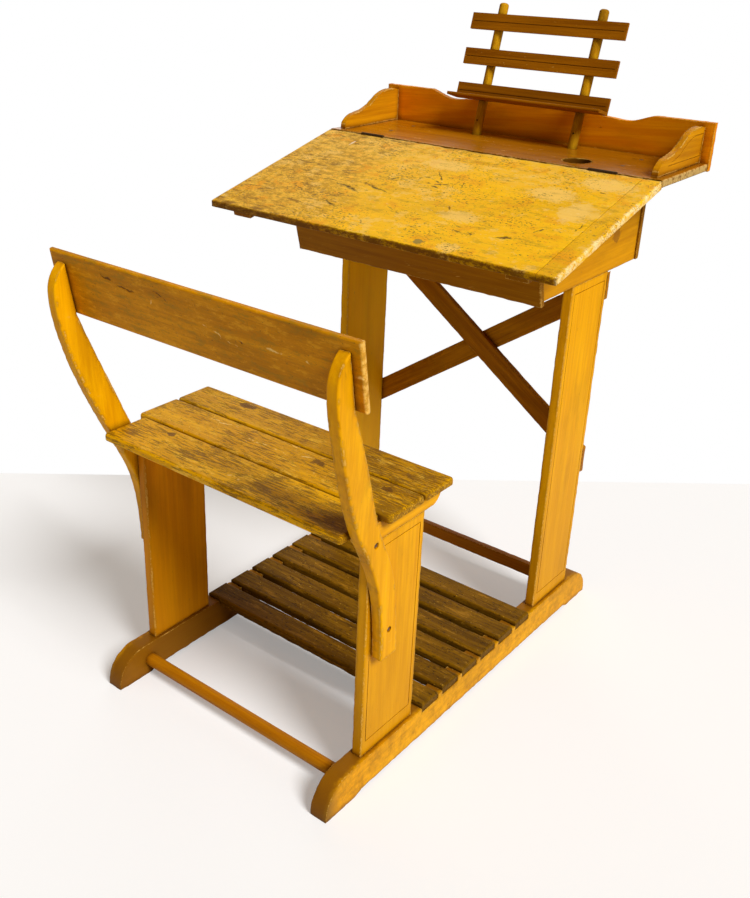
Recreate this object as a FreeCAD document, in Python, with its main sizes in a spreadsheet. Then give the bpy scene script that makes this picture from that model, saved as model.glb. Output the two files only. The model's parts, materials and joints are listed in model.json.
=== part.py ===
"""School desk with a lift lid, a seat on the same frame and a sliding book rest.

Frame of the model: +Z up, floor at z = 0, +X to the pupil's right, the pupil sits at -Y and faces +Y.
Every size is in millimetres or degrees and lives in the sheet called Dimensions.
"""
import FreeCAD, Part
import math
import os
import re

import Sketcher
from FreeCAD import Placement, Rotation, Vector

doc = FreeCAD.newDocument("school_desk")

# ---------------------------------------------------------------------------------------------
# Dimensions
# ---------------------------------------------------------------------------------------------

DRIVING = {
    # frame of the model
    "seat_end_y": -399.5,
    # floor runners
    "runner_length": 750, "runner_height": 56, "runner_thickness": 28, "runner_spread": 451,
    "near_end_face": 5, "far_end_face": 4, "foot_length": 65, "foot_step": 14, "foot_relief": 5,
    # end boards that stand on the runners
    "upright_inset": 6.5, "upright_thickness": 16, "tenon_length": 24, "tenon_thickness": 8,
    "tenon_shoulder": 14, "line_width": 1.2, "line_depth": 0.8, "arris": 1.2,
    "seat_upright_from_end": 82, "seat_upright_width": 122,
    "desk_upright_from_end": 563, "desk_upright_width": 116.5, "tongue_height": 90,
    "line_side_margin": 9, "line_foot_margin": 23, "line_head_margin": 13,
    # seat
    "seat_height": 440, "seat_thickness": 12, "seat_overhang": 15, "seat_gap": 2.2,
    "seat_back_edge": 23, "rear_board_width": 78, "middle_board_width": 76, "front_board_width": 66,
    "seat_round": 4.5, "seat_under_round": 2.5, "seat_corner": 5.5, "bearer_height": 27, "bearer_round": 21,
    "bearer_rear_setback": 37, "bearer_front_setback": 7,
    # back rest
    "post_thickness": 18, "post_width": 33.5, "post_gap": 0.6, "post_drop": 215, "post_splay": 11.5,
    "post_round": 3,
    "post_head_drop": 14, "backrest_overhang": 13.4, "backrest_height": 89, "backrest_thickness": 9,
    "backrest_clear_height": 180, "backrest_lean": 9.5, "backrest_shift": -75.5, "backrest_round": 3,
    "post_screw_radius": 2.2, "post_screw_head_radius": 3, "post_screw_head_height": 1.6,
    "post_recess_radius": 4.3, "post_recess_depth": 2.6, "post_screw_bite": 12,
    "upper_screw_drop": 25.5, "upper_screw_setback": 10.8, "lower_screw_drop": 170.5,
    "lower_screw_inset": 26,
    # stretchers, braces and foot grille
    "seat_rod_radius": 10.5, "seat_rod_from_end": 65, "seat_rod_height": 25, "seat_rod_socket": 16,
    "stretcher_height": 24, "stretcher_thickness": 11, "stretcher_socket": 10, "stretcher_drop": 1,
    "brace_width": 37, "brace_thickness": 8.5, "brace_top_gap": 1.57, "brace_slope": 35,
    "brace_gap": 0.6,
    "slat_count": 6, "slat_width": 43, "slat_pitch": 54.5, "slat_thickness": 14, "slat_round": 4.5,
    "slat_start_gap": 19.5, "slat_end_inset": 0.8, "slat_let_in": 8,
    # desk box
    "desk_underside": 626, "box_rear_height": 148, "side_thickness": 8.5, "box_floor_thickness": 6,
    "box_front_reach": 206, "box_front_height": 104, "box_front_thickness": 9, "box_front_overhang": 6,
    "box_back_thickness": 9, "box_back_overhang": 3, "box_back_inset": 14.5,
    # lid and its hinges
    "lid_slope": 14.5, "lid_depth": 304, "lid_overhang": 85.5, "lid_thickness": 12, "lid_round": 3,
    "clamp_width": 30, "clamp_chamfer": 0.7, "lid_seat_gap": 0.3, "batten_width": 35,
    "batten_thickness": 8, "batten_side_gap": 8, "batten_front_inset": 5, "batten_rear_inset": 40,
    "hinge_from_end": 627, "pin_rise": 0.4, "hinge_end_gap": 71, "hinge_length": 45,
    "knuckle_radius": 2.4, "pin_radius": 1.2, "pin_clearance": 0.05, "knuckle_gap": 0.4,
    "slot_clearance": 0.5, "slot_end_gap": 0.5, "leaf_thickness": 1.2, "leaf_height": 9,
    "leaf_half_gap": 0.3, "joint_half_gap": 0.8,
    # shelf and gallery
    "shelf_end_gap": 1.5, "shelf_depth": 165.7, "shelf_thickness": 12, "shelf_step": 1, "shelf_round": 3,
    "shelf_screw_rear": 42, "shelf_screw_front": 108,
    "ink_hole_radius": 22, "ink_hole_x": 146.5, "ink_hole_from_gallery": 121.5,
    "gallery_end_overhang": 1.5, "gallery_thickness": 10, "gallery_end_height": 60,
    "gallery_dip_height": 48.5, "gallery_crown_height": 52.5, "gallery_ear": 96, "gallery_ogee": 36.5,
    "wing_inset": 14.5, "wing_thickness": 10, "wing_length": 154, "wing_height": 55.5, "wing_nose": 8,
    "wing_line_margin": 11, "wing_line_rear": 5, "wing_heel_drop": 3,
    # book rest
    "rod_radius": 7.75, "rod_clearance": 0.08, "rod_offset": 90.5, "rod_from_gallery": 31, "rod_lean": 15.5,
    "rod_above": 213, "rod_below": 66, "rod_dome": 4.5, "rest_half": 140, "rest_slat_width": 26,
    "rest_slat_thickness": 5, "rest_slat_pitch": 56.5, "rest_first_slat": 54.6, "rest_notch": 1.5,
    "ledge_depth": 30, "ledge_thickness": 5, "guide_width": 44, "guide_thickness": 20, "guide_length": 230,
    "rod_pin_hole_radius": 1.5, "rod_pin_hole_height": 22, "rest_groove_margin": 4, "ledge_round": 2,
    # screws and nails
    "screw_head_radius": 3.4, "screw_shank_radius": 1.6, "nail_head_radius": 1.9, "nail_shank_radius": 1.1,
    "leaf_screw_head_radius": 2, "leaf_screw_shank_radius": 1, "leaf_screw_length": 13,
    "seat_screw_bite": 12, "slat_nail_bite": 16, "brace_screw_bite": 18, "shelf_screw_bite": 18,
    "rest_nail_bite": 9,
}

DERIVED = {
    "upright_outer": "runner_spread / 2 - upright_inset",
    "upright_inner": "upright_outer - upright_thickness",
    "runner_inner": "runner_spread / 2 - runner_thickness",
    "near_end_radius": "runner_height - near_end_face",
    "far_end_radius": "runner_height - far_end_face",
    "slat_underside": "runner_height - slat_let_in",
    "seat_upright_y": "seat_end_y + seat_upright_from_end",
    "desk_upright_y": "seat_end_y + desk_upright_from_end",
    "seat_underside": "seat_height - seat_thickness",
    "bearer_underside": "seat_underside - bearer_height",
    "seat_rear_y": "seat_end_y + seat_back_edge",
    "middle_board_y": "seat_rear_y + rear_board_width + seat_gap",
    "front_board_y": "middle_board_y + middle_board_width + seat_gap",
    "seat_front_y": "front_board_y + front_board_width",
    "backrest_bottom_z": "seat_height + backrest_clear_height",
    "backrest_bottom_y": "seat_upright_y + backrest_shift",
    "tongue_thickness": "upright_thickness - side_thickness",
    "hinge_y": "seat_end_y + hinge_from_end",
    "shelf_top": "desk_underside + box_rear_height + shelf_thickness",
    "shelf_underside": "shelf_top - shelf_thickness",
    "hinge_z": "shelf_top - shelf_step + pin_rise",
    "shelf_front_y": "hinge_y + joint_half_gap",
    "gallery_y": "shelf_front_y + shelf_depth",
    "box_back_y": "gallery_y - box_back_inset - box_back_thickness",
    "lid_top": "0 - pin_rise",
    "lid_underside": "lid_top - lid_thickness",
    "box_top": "lid_underside - lid_seat_gap",
    "box_front_inner": "box_front_thickness - box_front_reach",
    "side_low_y":
        "hinge_y + (box_front_inner - (desk_underside - hinge_z) * sin(lid_slope)) / cos(lid_slope)",
    "side_high_y": "hinge_y + box_front_inner * cos(lid_slope) - box_top * sin(lid_slope)",
    "side_high_z": "hinge_z + box_front_inner * sin(lid_slope) + box_top * cos(lid_slope)",
    "side_bend_y": "hinge_y + ((shelf_underside - hinge_z) * cos(lid_slope) - box_top) / sin(lid_slope)",
    "rod_base_y": "gallery_y - rod_from_gallery",
    "post_inner": "upright_outer + post_gap",
    "post_outer": "post_inner + post_thickness",
    "backrest_half": "post_outer + post_splay + backrest_overhang",
    "lid_half": "upright_outer + lid_overhang",
    "hinge_offset": "lid_half - hinge_end_gap - hinge_length / 2",
    "shelf_half": "lid_half - shelf_end_gap",
    "gallery_half": "shelf_half + gallery_end_overhang",
    "gallery_shoulder_x": "gallery_half - gallery_ear",
    "gallery_dip_x": "gallery_shoulder_x - gallery_ogee",
    "wing_outer": "gallery_half - wing_inset",
    "desk_rear_y": "desk_upright_y + desk_upright_width",
    "brace_half_rise": "upright_outer * tan(brace_slope) + brace_width / 2 / cos(brace_slope)",
    "brace_centre_height": "desk_underside - brace_top_gap - brace_half_rise",
}

KNOWN = set(DRIVING) | set(DERIVED)


def sheet_formula(text):
    """A sheet formula: angles are given to sin and cos in degrees."""
    return re.sub(r"(sin|cos|tan)\((\w+)\)", r"\1(\2 * 1deg)", text)


def bound(text):
    """An expression on any object, with each known name read from the sheet."""

    def from_sheet(match):
        word = match.group()
        return "Dimensions." + word if word in KNOWN else word

    return re.sub(r"[a-z_]+", from_sheet, sheet_formula(text))


sheet = doc.addObject("Spreadsheet::Sheet", "Dimensions")
for row, (name, value) in enumerate(DRIVING.items(), start=1):
    sheet.set("A%d" % row, name)
    sheet.set("B%d" % row, str(value))
    sheet.setAlias("B%d" % row, name)
for row, (name, formula) in enumerate(DERIVED.items(), start=1):
    sheet.set("D%d" % row, name)
    sheet.set("E%d" % row, "=" + sheet_formula(formula))
    sheet.setAlias("E%d" % row, name)
doc.recompute()


def size(name):
    """The number that the sheet gives a name."""
    return float(sheet.get(name))


# ---------------------------------------------------------------------------------------------
# Modelling helpers
# ---------------------------------------------------------------------------------------------

PARTS = {}


def keep(label, thing):
    """Name a finished sub-part: the label is also the name of its STEP file."""
    thing.Label = label
    PARTS[label] = thing
    return thing


def place(thing, x="0", y="0", z="0", tilt=None):
    """Bind a placement; tilt is a named angle about X, which leans the top of the piece towards -Y."""
    angle, sign = (tilt.lstrip("-"), -1 if tilt.startswith("-") else 1) if tilt else (None, 1)
    thing.Placement = Placement(Vector(0, 0, 0), Rotation(Vector(sign, 0, 0), 1 if tilt else 0))
    for axis, text in (("x", x), ("y", y), ("z", z)):
        thing.setExpression("Placement.Base." + axis, "(" + bound(text) + ") * 1mm")
    if angle:
        thing.setExpression("Placement.Rotation.Angle", bound(angle) + " * 1deg")
    return thing


def new_body(label):
    return doc.addObject("PartDesign::Body", label)


def sketch_on(body, role, offset=None):
    """A sketch on one of the body's own origin planes, moved along its normal by a bound offset."""
    drawing = body.newObject("Sketcher::SketchObject", body.Name + "_sketch")
    plane = [item for item in body.Origin.OriginFeatures if item.Role == role][0]
    drawing.AttachmentSupport = (plane, "")
    drawing.MapMode = "FlatFace"
    if offset:
        drawing.setExpression("AttachmentOffset.Base.z", "(" + bound(offset) + ") * 1mm")
    return drawing


def dimension(drawing, geometry, end, x, y):
    """Dimension one point of the sketch from its origin."""
    for kind, text in (("DistanceX", x), ("DistanceY", y)):
        number = drawing.addConstraint(Sketcher.Constraint(kind, -1, 1, geometry, end, 1.0))
        drawing.setExpression("Constraints[%d]" % number, bound(text))


def number_of(text):
    """The present value of an expression, used only to draw a sketch near its final shape."""

    def ratio(match):
        function = getattr(math, match.group(1))
        return str(function(math.radians(size(match.group(2)))))

    def number(match):
        return "(%r)" % size(match.group())

    text = re.sub(r"(sin|cos|tan)\((\w+)\)", ratio, text)
    return FreeCAD.Units.Quantity(re.sub(r"[a-z_]+", number, text)).Value


def polygon(drawing, corners):
    """A closed outline whose every corner is dimensioned from the sketch origin."""
    first = drawing.GeometryCount
    count = len(corners)
    drawn = [Vector(number_of(x), number_of(y), 0) for x, y in corners]
    for here in range(count):
        drawing.addGeometry(Part.LineSegment(drawn[here], drawn[(here + 1) % count]), False)
    for here in range(count):
        following = first + (here + 1) % count
        drawing.addConstraint(Sketcher.Constraint("Coincident", first + here, 2, following, 1))
        dimension(drawing, first + here, 1, *corners[here])


def rectangle(drawing, left, low, right, high):
    polygon(drawing, [(left, low), (right, low), (right, high), (left, high)])


def circle(drawing, x, y, radius):
    middle = Vector(number_of(x), number_of(y), 0)
    number = drawing.addGeometry(Part.Circle(middle, Vector(0, 0, 1), size(radius)), False)
    dimension(drawing, number, 3, x, y)
    limit = drawing.addConstraint(Sketcher.Constraint("Radius", number, 1.0))
    drawing.setExpression("Constraints[%d]" % limit, bound(radius))


def pad(body, drawing, length, both_ways=False, backwards=False):
    feature = body.newObject("PartDesign::Pad", body.Name + "_pad")
    feature.Profile = drawing
    feature.setExpression("Length", bound(length))
    feature.Midplane = both_ways
    feature.Reversed = backwards
    doc.recompute()
    return feature


def pocket(body, drawing, length, backwards=False):
    before = body.Shape.Volume
    feature = body.newObject("PartDesign::Pocket", body.Name + "_pocket")
    feature.Profile = drawing
    feature.setExpression("Length", bound(length))
    feature.Reversed = backwards
    doc.recompute()
    if body.Shape.Volume > before - 1e-6:
        raise RuntimeError(body.Name + ": a pocket cuts nothing")
    return feature


def edges_where(feature, wanted):
    """Names of the edges of a feature that pass a test on their centre and direction."""
    names = []
    for number, edge in enumerate(feature.Shape.Edges, start=1):
        ends = [vertex.Point for vertex in edge.Vertexes]
        if len(ends) < 2:
            continue
        run = (ends[1] - ends[0])
        if run.Length < 1e-6:
            continue
        if wanted(edge.CenterOfMass, run.normalize(), edge):
            names.append("Edge%d" % number)
    return names


def fillet(body, base, radius, wanted):
    feature = body.newObject("PartDesign::Fillet", body.Name + "_fillet")
    feature.Base = (base, edges_where(base, wanted))
    feature.setExpression("Radius", bound(radius))
    doc.recompute()
    return feature


def chamfer(body, base, width, wanted):
    feature = body.newObject("PartDesign::Chamfer", body.Name + "_chamfer")
    feature.Base = (base, edges_where(base, wanted))
    feature.setExpression("Size", bound(width))
    doc.recompute()
    return feature


def runs_along(axis):
    """A test for edges that run along X, Y or Z."""
    return lambda centre, run, edge: abs(getattr(run, axis)) > 0.999


def joined(label, pieces):
    group = doc.addObject("Part::MultiFuse", label)
    group.Shapes = pieces
    doc.recompute()
    return group


def bundle(label, pieces):
    group = doc.addObject("Part::Compound", label)
    group.Links = pieces
    doc.recompute()
    return group


def cut_between(label, base, tool):
    result = doc.addObject("Part::Cut", label)
    result.Base = base
    result.Tool = tool
    doc.recompute()
    return result


def cut_for(label, base, tools):
    """The sub-part that is left of a blank once the pieces that pass through it have their room."""
    tool = tools[0] if len(tools) == 1 else bundle(label + "_tools", tools)
    return keep(label, cut_between(label + "_cut", base, tool))


def twin_of(right_piece):
    """The left-hand twin of a right-hand piece."""
    twin = doc.addObject("Part::Mirroring", right_piece.Name + "_twin")
    twin.Source = right_piece
    twin.Normal = Vector(1, 0, 0)
    twin.Base = Vector(0, 0, 0)
    doc.recompute()
    return twin


def mirrored(label, right_piece):
    return keep(label, twin_of(right_piece))


def cylinder(label, radius, length, x="0", y="0", z="0", turn=None, tilt=None):
    """A round bar: upright, along X (turn "x"), or leaning by a named angle."""
    bar = doc.addObject("Part::Cylinder", label)
    bar.setExpression("Radius", bound(radius))
    bar.setExpression("Height", bound(length))
    place(bar, x, y, z, tilt)
    if turn == "x":
        bar.Placement = Placement(bar.Placement.Base, Rotation(Vector(0, 1, 0), 90))
    doc.recompute()
    return bar


def block(label, length_x, length_y, length_z, x, y, z):
    box = doc.addObject("Part::Box", label)
    box.setExpression("Length", bound(length_x))
    box.setExpression("Width", bound(length_y))
    box.setExpression("Height", bound(length_z))
    place(box, x, y, z)
    doc.recompute()
    return box


def fasteners(label, heads, head_radius, shank_radius, length):
    """A group of screws or nails: each has a flush head at a point and a shank along a direction."""
    solids = []
    sink = head_radius - shank_radius
    for point, direction in heads:
        head = Part.makeCone(head_radius, shank_radius, sink, point, direction)
        shank = Part.makeCylinder(shank_radius, length, point, direction)
        solids.append(head.fuse(shank).removeSplitter())
    group = doc.addObject("Part::Feature", label)
    group.Shape = Part.makeCompound(solids)
    return keep(label, group)


# ---------------------------------------------------------------------------------------------
# End boards and bearers, right-hand side
# ---------------------------------------------------------------------------------------------


def end_board(label, width, height, y, tongue=None):
    """An upright board with a tenon into the runner and a thin line cut round its outer face."""
    board = new_body(label)
    face = sketch_on(board, "YZ_Plane")
    rectangle(face, "0", "0", width, height)
    plate = pad(board, face, "upright_thickness")
    chamfer(board, plate, "arris", runs_along("z"))
    foot = sketch_on(board, "YZ_Plane", "(upright_thickness - tenon_thickness) / 2")
    rectangle(foot, "tenon_shoulder", "0 - tenon_length", width + " - tenon_shoulder", "0")
    pad(board, foot, "tenon_thickness")
    if tongue:
        lap = sketch_on(board, "YZ_Plane")
        rectangle(lap, "arris", height, width + " - arris", height + " + " + tongue)
        pad(board, lap, "tongue_thickness")
    lines = sketch_on(board, "YZ_Plane", "upright_thickness")
    low, high = "line_foot_margin", height + " - line_head_margin"
    rectangle(lines, "line_side_margin", low, width + " - line_side_margin", high)
    rectangle(lines, "line_side_margin + line_width", low + " + line_width",
              width + " - line_side_margin - line_width", high + " - line_width")
    pocket(board, lines, "line_depth")
    place(board, "upright_inner", y, "runner_height")
    return board


seat_upright = end_board("seat_upright", "seat_upright_width", "(bearer_underside - runner_height)",
                         "seat_upright_y")
desk_upright = end_board("desk_upright", "desk_upright_width", "(desk_underside - runner_height)",
                         "desk_upright_y", "tongue_height")

bearer = new_body("seat_bearer")
bearer_side = sketch_on(bearer, "YZ_Plane")
rectangle(bearer_side, "bearer_rear_setback", "0", "seat_front_y - seat_rear_y - bearer_front_setback",
          "bearer_height")
bearer_bar = pad(bearer, bearer_side, "upright_thickness")
fillet(bearer, bearer_bar, "bearer_round",
       lambda centre, run, edge: abs(run.x) > 0.999 and centre.z < size("bearer_height") / 2)
place(bearer, "upright_inner", "seat_rear_y", "bearer_underside")

# ---------------------------------------------------------------------------------------------
# Back posts and back rest
# ---------------------------------------------------------------------------------------------


def post_outline():
    """The S-shaped side of a post: points up its front edge, its head, and points down its rear edge."""
    seat_z, rest_z = size("seat_height"), size("backrest_bottom_z")
    foot_z = seat_z - size("post_drop")
    width = size("post_width")
    upright_y = size("seat_upright_y")
    rest_y = size("backrest_bottom_y")
    lean = math.radians(size("backrest_lean"))
    head_z = rest_z + size("backrest_height") * math.cos(lean) - size("post_head_drop")
    head_y = rest_y - (head_z - rest_z) * math.tan(lean)

    def below(widths, share):
        """A point under the seat: post widths from the upright's rear edge, and a share of the drop."""
        return Vector(0, upright_y + widths * width, seat_z + share * (foot_z - seat_z))

    def above(widths, share):
        """A point over the seat: post widths from the foot of the back rest, and a share of the rise."""
        return Vector(0, rest_y + widths * width, seat_z + share * (rest_z - seat_z))

    front = [below(1.4, 1), below(1.28, 0.74), below(0.87, 0.38), below(0.09, 0.1), above(1.39, 0.33),
             above(0.58, 0.72), above(0, 1)]
    rear = [above(-1, 1.22), above(-0.985, 1.08), above(-0.79, 0.87), above(-0.42, 0.61), above(0.21, 0.28),
            below(-1.16, 0.075), below(-0.18, 0.4), below(0.27, 0.78), below(0.33, 1)]
    return front, Vector(0, head_y, head_z), rear


def spline_edge(points):
    curve = Part.BSplineCurve()
    curve.interpolate(points)
    return curve.toShape()


def line_edge(start, end):
    return Part.LineSegment(start, end).toShape()


def splay_outline():
    """The front view of a post: upright beside the frame, then bent outwards up to the back rest."""
    inner, outer = size("post_inner"), size("post_outer")
    splay = size("post_splay")
    foot_z = size("seat_height") - 2 * size("post_drop")
    start_z, end_z = size("seat_underside"), size("backrest_bottom_z")
    crown_z = end_z + size("backrest_height")
    middle_z = (start_z + end_z) / 2

    def bend(x):
        curve = Part.BSplineCurve()
        points = [Vector(x, 0, start_z), Vector(x + 0.62 * splay, 0, middle_z), Vector(x + splay, 0, end_z)]
        curve.interpolate(points, InitialTangent=Vector(0.02, 0, 1), FinalTangent=Vector(0, 0, 1))
        return curve.toShape()

    return Part.Wire([
        line_edge(Vector(inner, 0, foot_z), Vector(inner, 0, start_z)), bend(inner),
        line_edge(Vector(inner + splay, 0, end_z), Vector(inner + splay, 0, crown_z)),
        line_edge(Vector(inner + splay, 0, crown_z), Vector(outer + splay, 0, crown_z)),
        line_edge(Vector(outer + splay, 0, crown_z), Vector(outer + splay, 0, end_z)), bend(outer),
        line_edge(Vector(outer, 0, start_z), Vector(outer, 0, foot_z)),
        line_edge(Vector(outer, 0, foot_z), Vector(inner, 0, foot_z))])


front_edge, post_head, rear_edge = post_outline()
crown_middle = (post_head + rear_edge[0]) * 0.5 + Vector(0, -0.07, 0.13) * size("post_width")
post_wire = Part.Wire([spline_edge(front_edge), line_edge(front_edge[-1], post_head),
                       Part.Arc(post_head, crown_middle, rear_edge[0]).toShape(),
                       spline_edge(rear_edge), line_edge(rear_edge[-1], front_edge[0])])
side_view = Part.Face(post_wire).extrude(Vector(size("upright_outer") * 2, 0, 0))
front_view = Part.Face(splay_outline()).extrude(Vector(0, size("runner_length"), 0))
front_view.translate(Vector(0, size("seat_end_y") - size("runner_length") / 2, 0))
post_solid = side_view.common(front_view).removeSplitter()
long_edges = [edge for edge in post_solid.Edges if edge.BoundBox.ZLength > size("post_thickness")]
post_blank = doc.addObject("Part::Feature", "post_blank")
post_blank.Shape = post_solid.makeFillet(size("post_round"), long_edges)

backrest = new_body("backrest")
backrest_face = sketch_on(backrest, "XZ_Plane")
rectangle(backrest_face, "0 - backrest_half", "0", "backrest_half", "backrest_height")
backrest_plate = pad(backrest, backrest_face, "backrest_thickness", backwards=True)
fillet(backrest, backrest_plate, "backrest_round", lambda centre, run, edge: abs(run.y) < 0.5)
place(backrest, "0", "backrest_bottom_y", "backrest_bottom_z", "backrest_lean")

# screws that hold each post to the seat upright and its bearer, their heads sunk in round recesses
screw_points = [
    (size("seat_upright_y") - size("upper_screw_setback"), size("seat_height") - size("upper_screw_drop")),
    (size("seat_upright_y") + size("lower_screw_inset"), size("seat_height") - size("lower_screw_drop")),
]
screw_reach = (size("post_thickness") - size("post_recess_depth") + size("post_gap")
               + size("post_screw_bite"))
screws, recesses = [], []
for screw_side in (1, -1):
    inward = Vector(-screw_side, 0, 0)
    for screw_y, screw_z in screw_points:
        face_point = Vector(screw_side * size("post_outer"), screw_y, screw_z)
        recess = Part.makeCylinder(size("post_recess_radius"), size("post_recess_depth"), face_point, inward)
        recesses.append(recess)
        seat_point = face_point + inward * size("post_recess_depth")
        shank = Part.makeCylinder(size("post_screw_radius"), screw_reach, seat_point, inward)
        head = Part.makeCone(size("post_screw_head_radius"), size("post_screw_radius"),
                             size("post_screw_head_height"), seat_point, inward * -1)
        screws.append(shank.fuse(head).removeSplitter())
post_screws = keep("post_screws", doc.addObject("Part::Feature", "post_screws"))
post_screws.Shape = Part.makeCompound(screws)
post_recesses = doc.addObject("Part::Feature", "post_recesses")
post_recesses.Shape = Part.makeCompound(recesses)

lean = math.radians(size("backrest_lean"))
rest_up = Vector(0, -math.sin(lean), math.cos(lean))
rest_in = Vector(0, -math.cos(lean), -math.sin(lean))
post_middle_x = size("post_inner") + size("post_splay") + size("post_thickness") / 2
backrest_heads = []
for rest_side in (1, -1):
    for share in (0.2, 0.6):
        foot_point = Vector(rest_side * post_middle_x, size("backrest_bottom_y"), size("backrest_bottom_z"))
        up_board = rest_up * (size("backrest_height") * share)
        backrest_heads.append((foot_point + up_board - rest_in * size("backrest_thickness"), rest_in))

# ---------------------------------------------------------------------------------------------
# Seat boards
# ---------------------------------------------------------------------------------------------

full_half = "upright_outer + seat_overhang"
# each board: place of its rear edge, width, half length, and its screws as shares of its width
SEAT_BOARDS = {
    "seat_board_rear": ("seat_rear_y", "rear_board_width", "upright_outer - post_gap", (0.55, 0.88)),
    "seat_board_middle": ("middle_board_y", "middle_board_width", full_half, (0.25, 0.75)),
    "seat_board_front": ("front_board_y", "front_board_width", full_half, (0.25, 0.75)),
}

upright_middle_x = size("upright_outer") - size("upright_thickness") / 2
seat_heads = []
for start, width, half, screw_shares in SEAT_BOARDS.values():
    for seat_side in (1, -1):
        for share in screw_shares:
            head_y = size(start) + size(width) * share
            point = Vector(seat_side * upright_middle_x, head_y, size("seat_height"))
            seat_heads.append((point, Vector(0, 0, -1)))
seat_screws = fasteners("seat_screws", seat_heads + backrest_heads, size("screw_head_radius"),
                        size("screw_shank_radius"), size("seat_thickness") + size("seat_screw_bite"))

cut_for("backrest_board", backrest, [seat_screws])
back_post = cut_for("back_post_right", post_blank, [post_screws, post_recesses, seat_screws])
mirrored("back_post_left", back_post)

for label, (start, width, half, screw_shares) in SEAT_BOARDS.items():
    board = new_body(label + "_blank")
    outline = sketch_on(board, "XY_Plane")
    rectangle(outline, "0 - (" + half + ")", "0", half, width)
    plank = pad(board, outline, "seat_thickness")
    cornered = fillet(board, plank, "seat_corner", runs_along("z"))
    topped = fillet(board, cornered, "seat_round",
                    lambda centre, run, edge: abs(run.z) < 0.5 and centre.z > size("seat_thickness") / 2)
    fillet(board, topped, "seat_under_round",
           lambda centre, run, edge: abs(run.z) < 0.5 and centre.z < size("seat_thickness") / 4)
    place(board, "0", start, "seat_underside")
    cut_for(label, board, [seat_screws])

# ---------------------------------------------------------------------------------------------
# Foot grille, stretchers and braces
# ---------------------------------------------------------------------------------------------

slat_count = int(size("slat_count"))
slat_first_y = size("seat_upright_y") + size("seat_upright_width") + size("slat_start_gap")
slat_top = size("slat_underside") + size("slat_thickness")
runner_middle_x = (size("runner_spread") - size("runner_thickness")) / 2
slat_heads = []
for number in range(slat_count):
    slat_y = slat_first_y + number * size("slat_pitch")
    for slat_side in (1, -1):
        for share in (0.3, 0.7):
            point = Vector(slat_side * runner_middle_x, slat_y + size("slat_width") * share, slat_top)
            slat_heads.append((point, Vector(0, 0, -1)))
slat_nails = fasteners("slat_nails", slat_heads, size("nail_head_radius"), size("nail_shank_radius"),
                       size("slat_thickness") + size("slat_nail_bite"))

slat_notches = []
for number in range(slat_count):
    slat = new_body("slat_blank_%d" % (number + 1))
    outline = sketch_on(slat, "XY_Plane")
    half = "(runner_spread / 2 - slat_end_inset)"
    rectangle(outline, "0 - " + half, "0", half, "slat_width")
    plank = pad(slat, outline, "slat_thickness")
    fillet(slat, plank, "slat_round", lambda centre, run, edge: abs(run.z) < 0.5 and centre.z > 1)
    slat_y = "seat_upright_y + seat_upright_width + slat_start_gap + slat_pitch * %d" % number
    place(slat, "0", slat_y, "slat_underside")
    cut_for("foot_slat_%d" % (number + 1), slat, [slat_nails])
    slat_notches.append(block("slat_notch_%d" % (number + 1), "runner_spread", "slat_width",
                              "slat_thickness", "0 - runner_spread / 2", slat_y, "slat_underside"))

seat_rod = cylinder("seat_rod", "seat_rod_radius", "2 * (runner_inner + seat_rod_socket)",
                    "0 - runner_inner - seat_rod_socket", "seat_end_y + seat_rod_from_end", "seat_rod_height",
                    turn="x")
keep("seat_stretcher_rod", seat_rod)

stretcher = block("desk_stretcher_bar", "2 * (runner_inner + stretcher_socket)", "stretcher_thickness",
                  "stretcher_height", "0 - runner_inner - stretcher_socket",
                  "desk_rear_y", "runner_height - stretcher_height - stretcher_drop")
keep("desk_stretcher", stretcher)


def brace_blank(label, rise):
    """A flat diagonal board across the rear edges of the desk uprights, its ends cut plumb."""
    board = new_body(label)
    band = sketch_on(board, "XZ_Plane")
    top, low = "(brace_width / 2 / cos(brace_slope))", "(0 - brace_width / 2 / cos(brace_slope))"
    end = "(upright_outer * tan(brace_slope) * %d)" % rise
    polygon(band, [("0 - upright_outer", "0 - " + end + " + " + low),
                   ("upright_outer", end + " + " + low),
                   ("upright_outer", end + " + " + top),
                   ("0 - upright_outer", "0 - " + end + " + " + top)])
    pad(board, band, "2 * brace_thickness + brace_gap", backwards=True)
    place(board, "0", "desk_rear_y", "brace_centre_height")
    return board


def brace_plan(bowed):
    """A tall block with the top view of a brace: flat, or sprung round the other one where they cross."""
    thick = size("brace_thickness")
    rear_y = size("desk_rear_y")
    inner, outer = size("upright_inner"), size("upright_outer")
    bow = thick + size("brace_gap") if bowed else 0
    tall = Vector(0, 0, size("desk_underside"))

    def at(x, y):
        return Vector(x, rear_y + y, 0)

    def span(half, y):
        if not bowed:
            return line_edge(at(-half, y), at(half, y))
        return Part.Arc(at(-half, y), at(0, y + bow), at(half, y)).toShape()

    edges = [span(inner, 0), line_edge(at(inner, 0), at(outer, 0)),
             line_edge(at(outer, 0), at(outer, thick)),
             line_edge(at(outer, thick), at(inner, thick)), span(inner, thick),
             line_edge(at(-inner, thick), at(-outer, thick)), line_edge(at(-outer, thick), at(-outer, 0)),
             line_edge(at(-outer, 0), at(-inner, 0))]
    plan = doc.addObject("Part::Feature", "brace_plan")
    plan.Shape = Part.Face(Part.Wire(Part.__sortEdges__(edges))).extrude(tall)
    return plan


def brace(label, rise, bowed):
    board = doc.addObject("Part::Common", label)
    board.Base = brace_blank(label + "_band", rise)
    board.Tool = brace_plan(bowed)
    doc.recompute()
    return board


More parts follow.
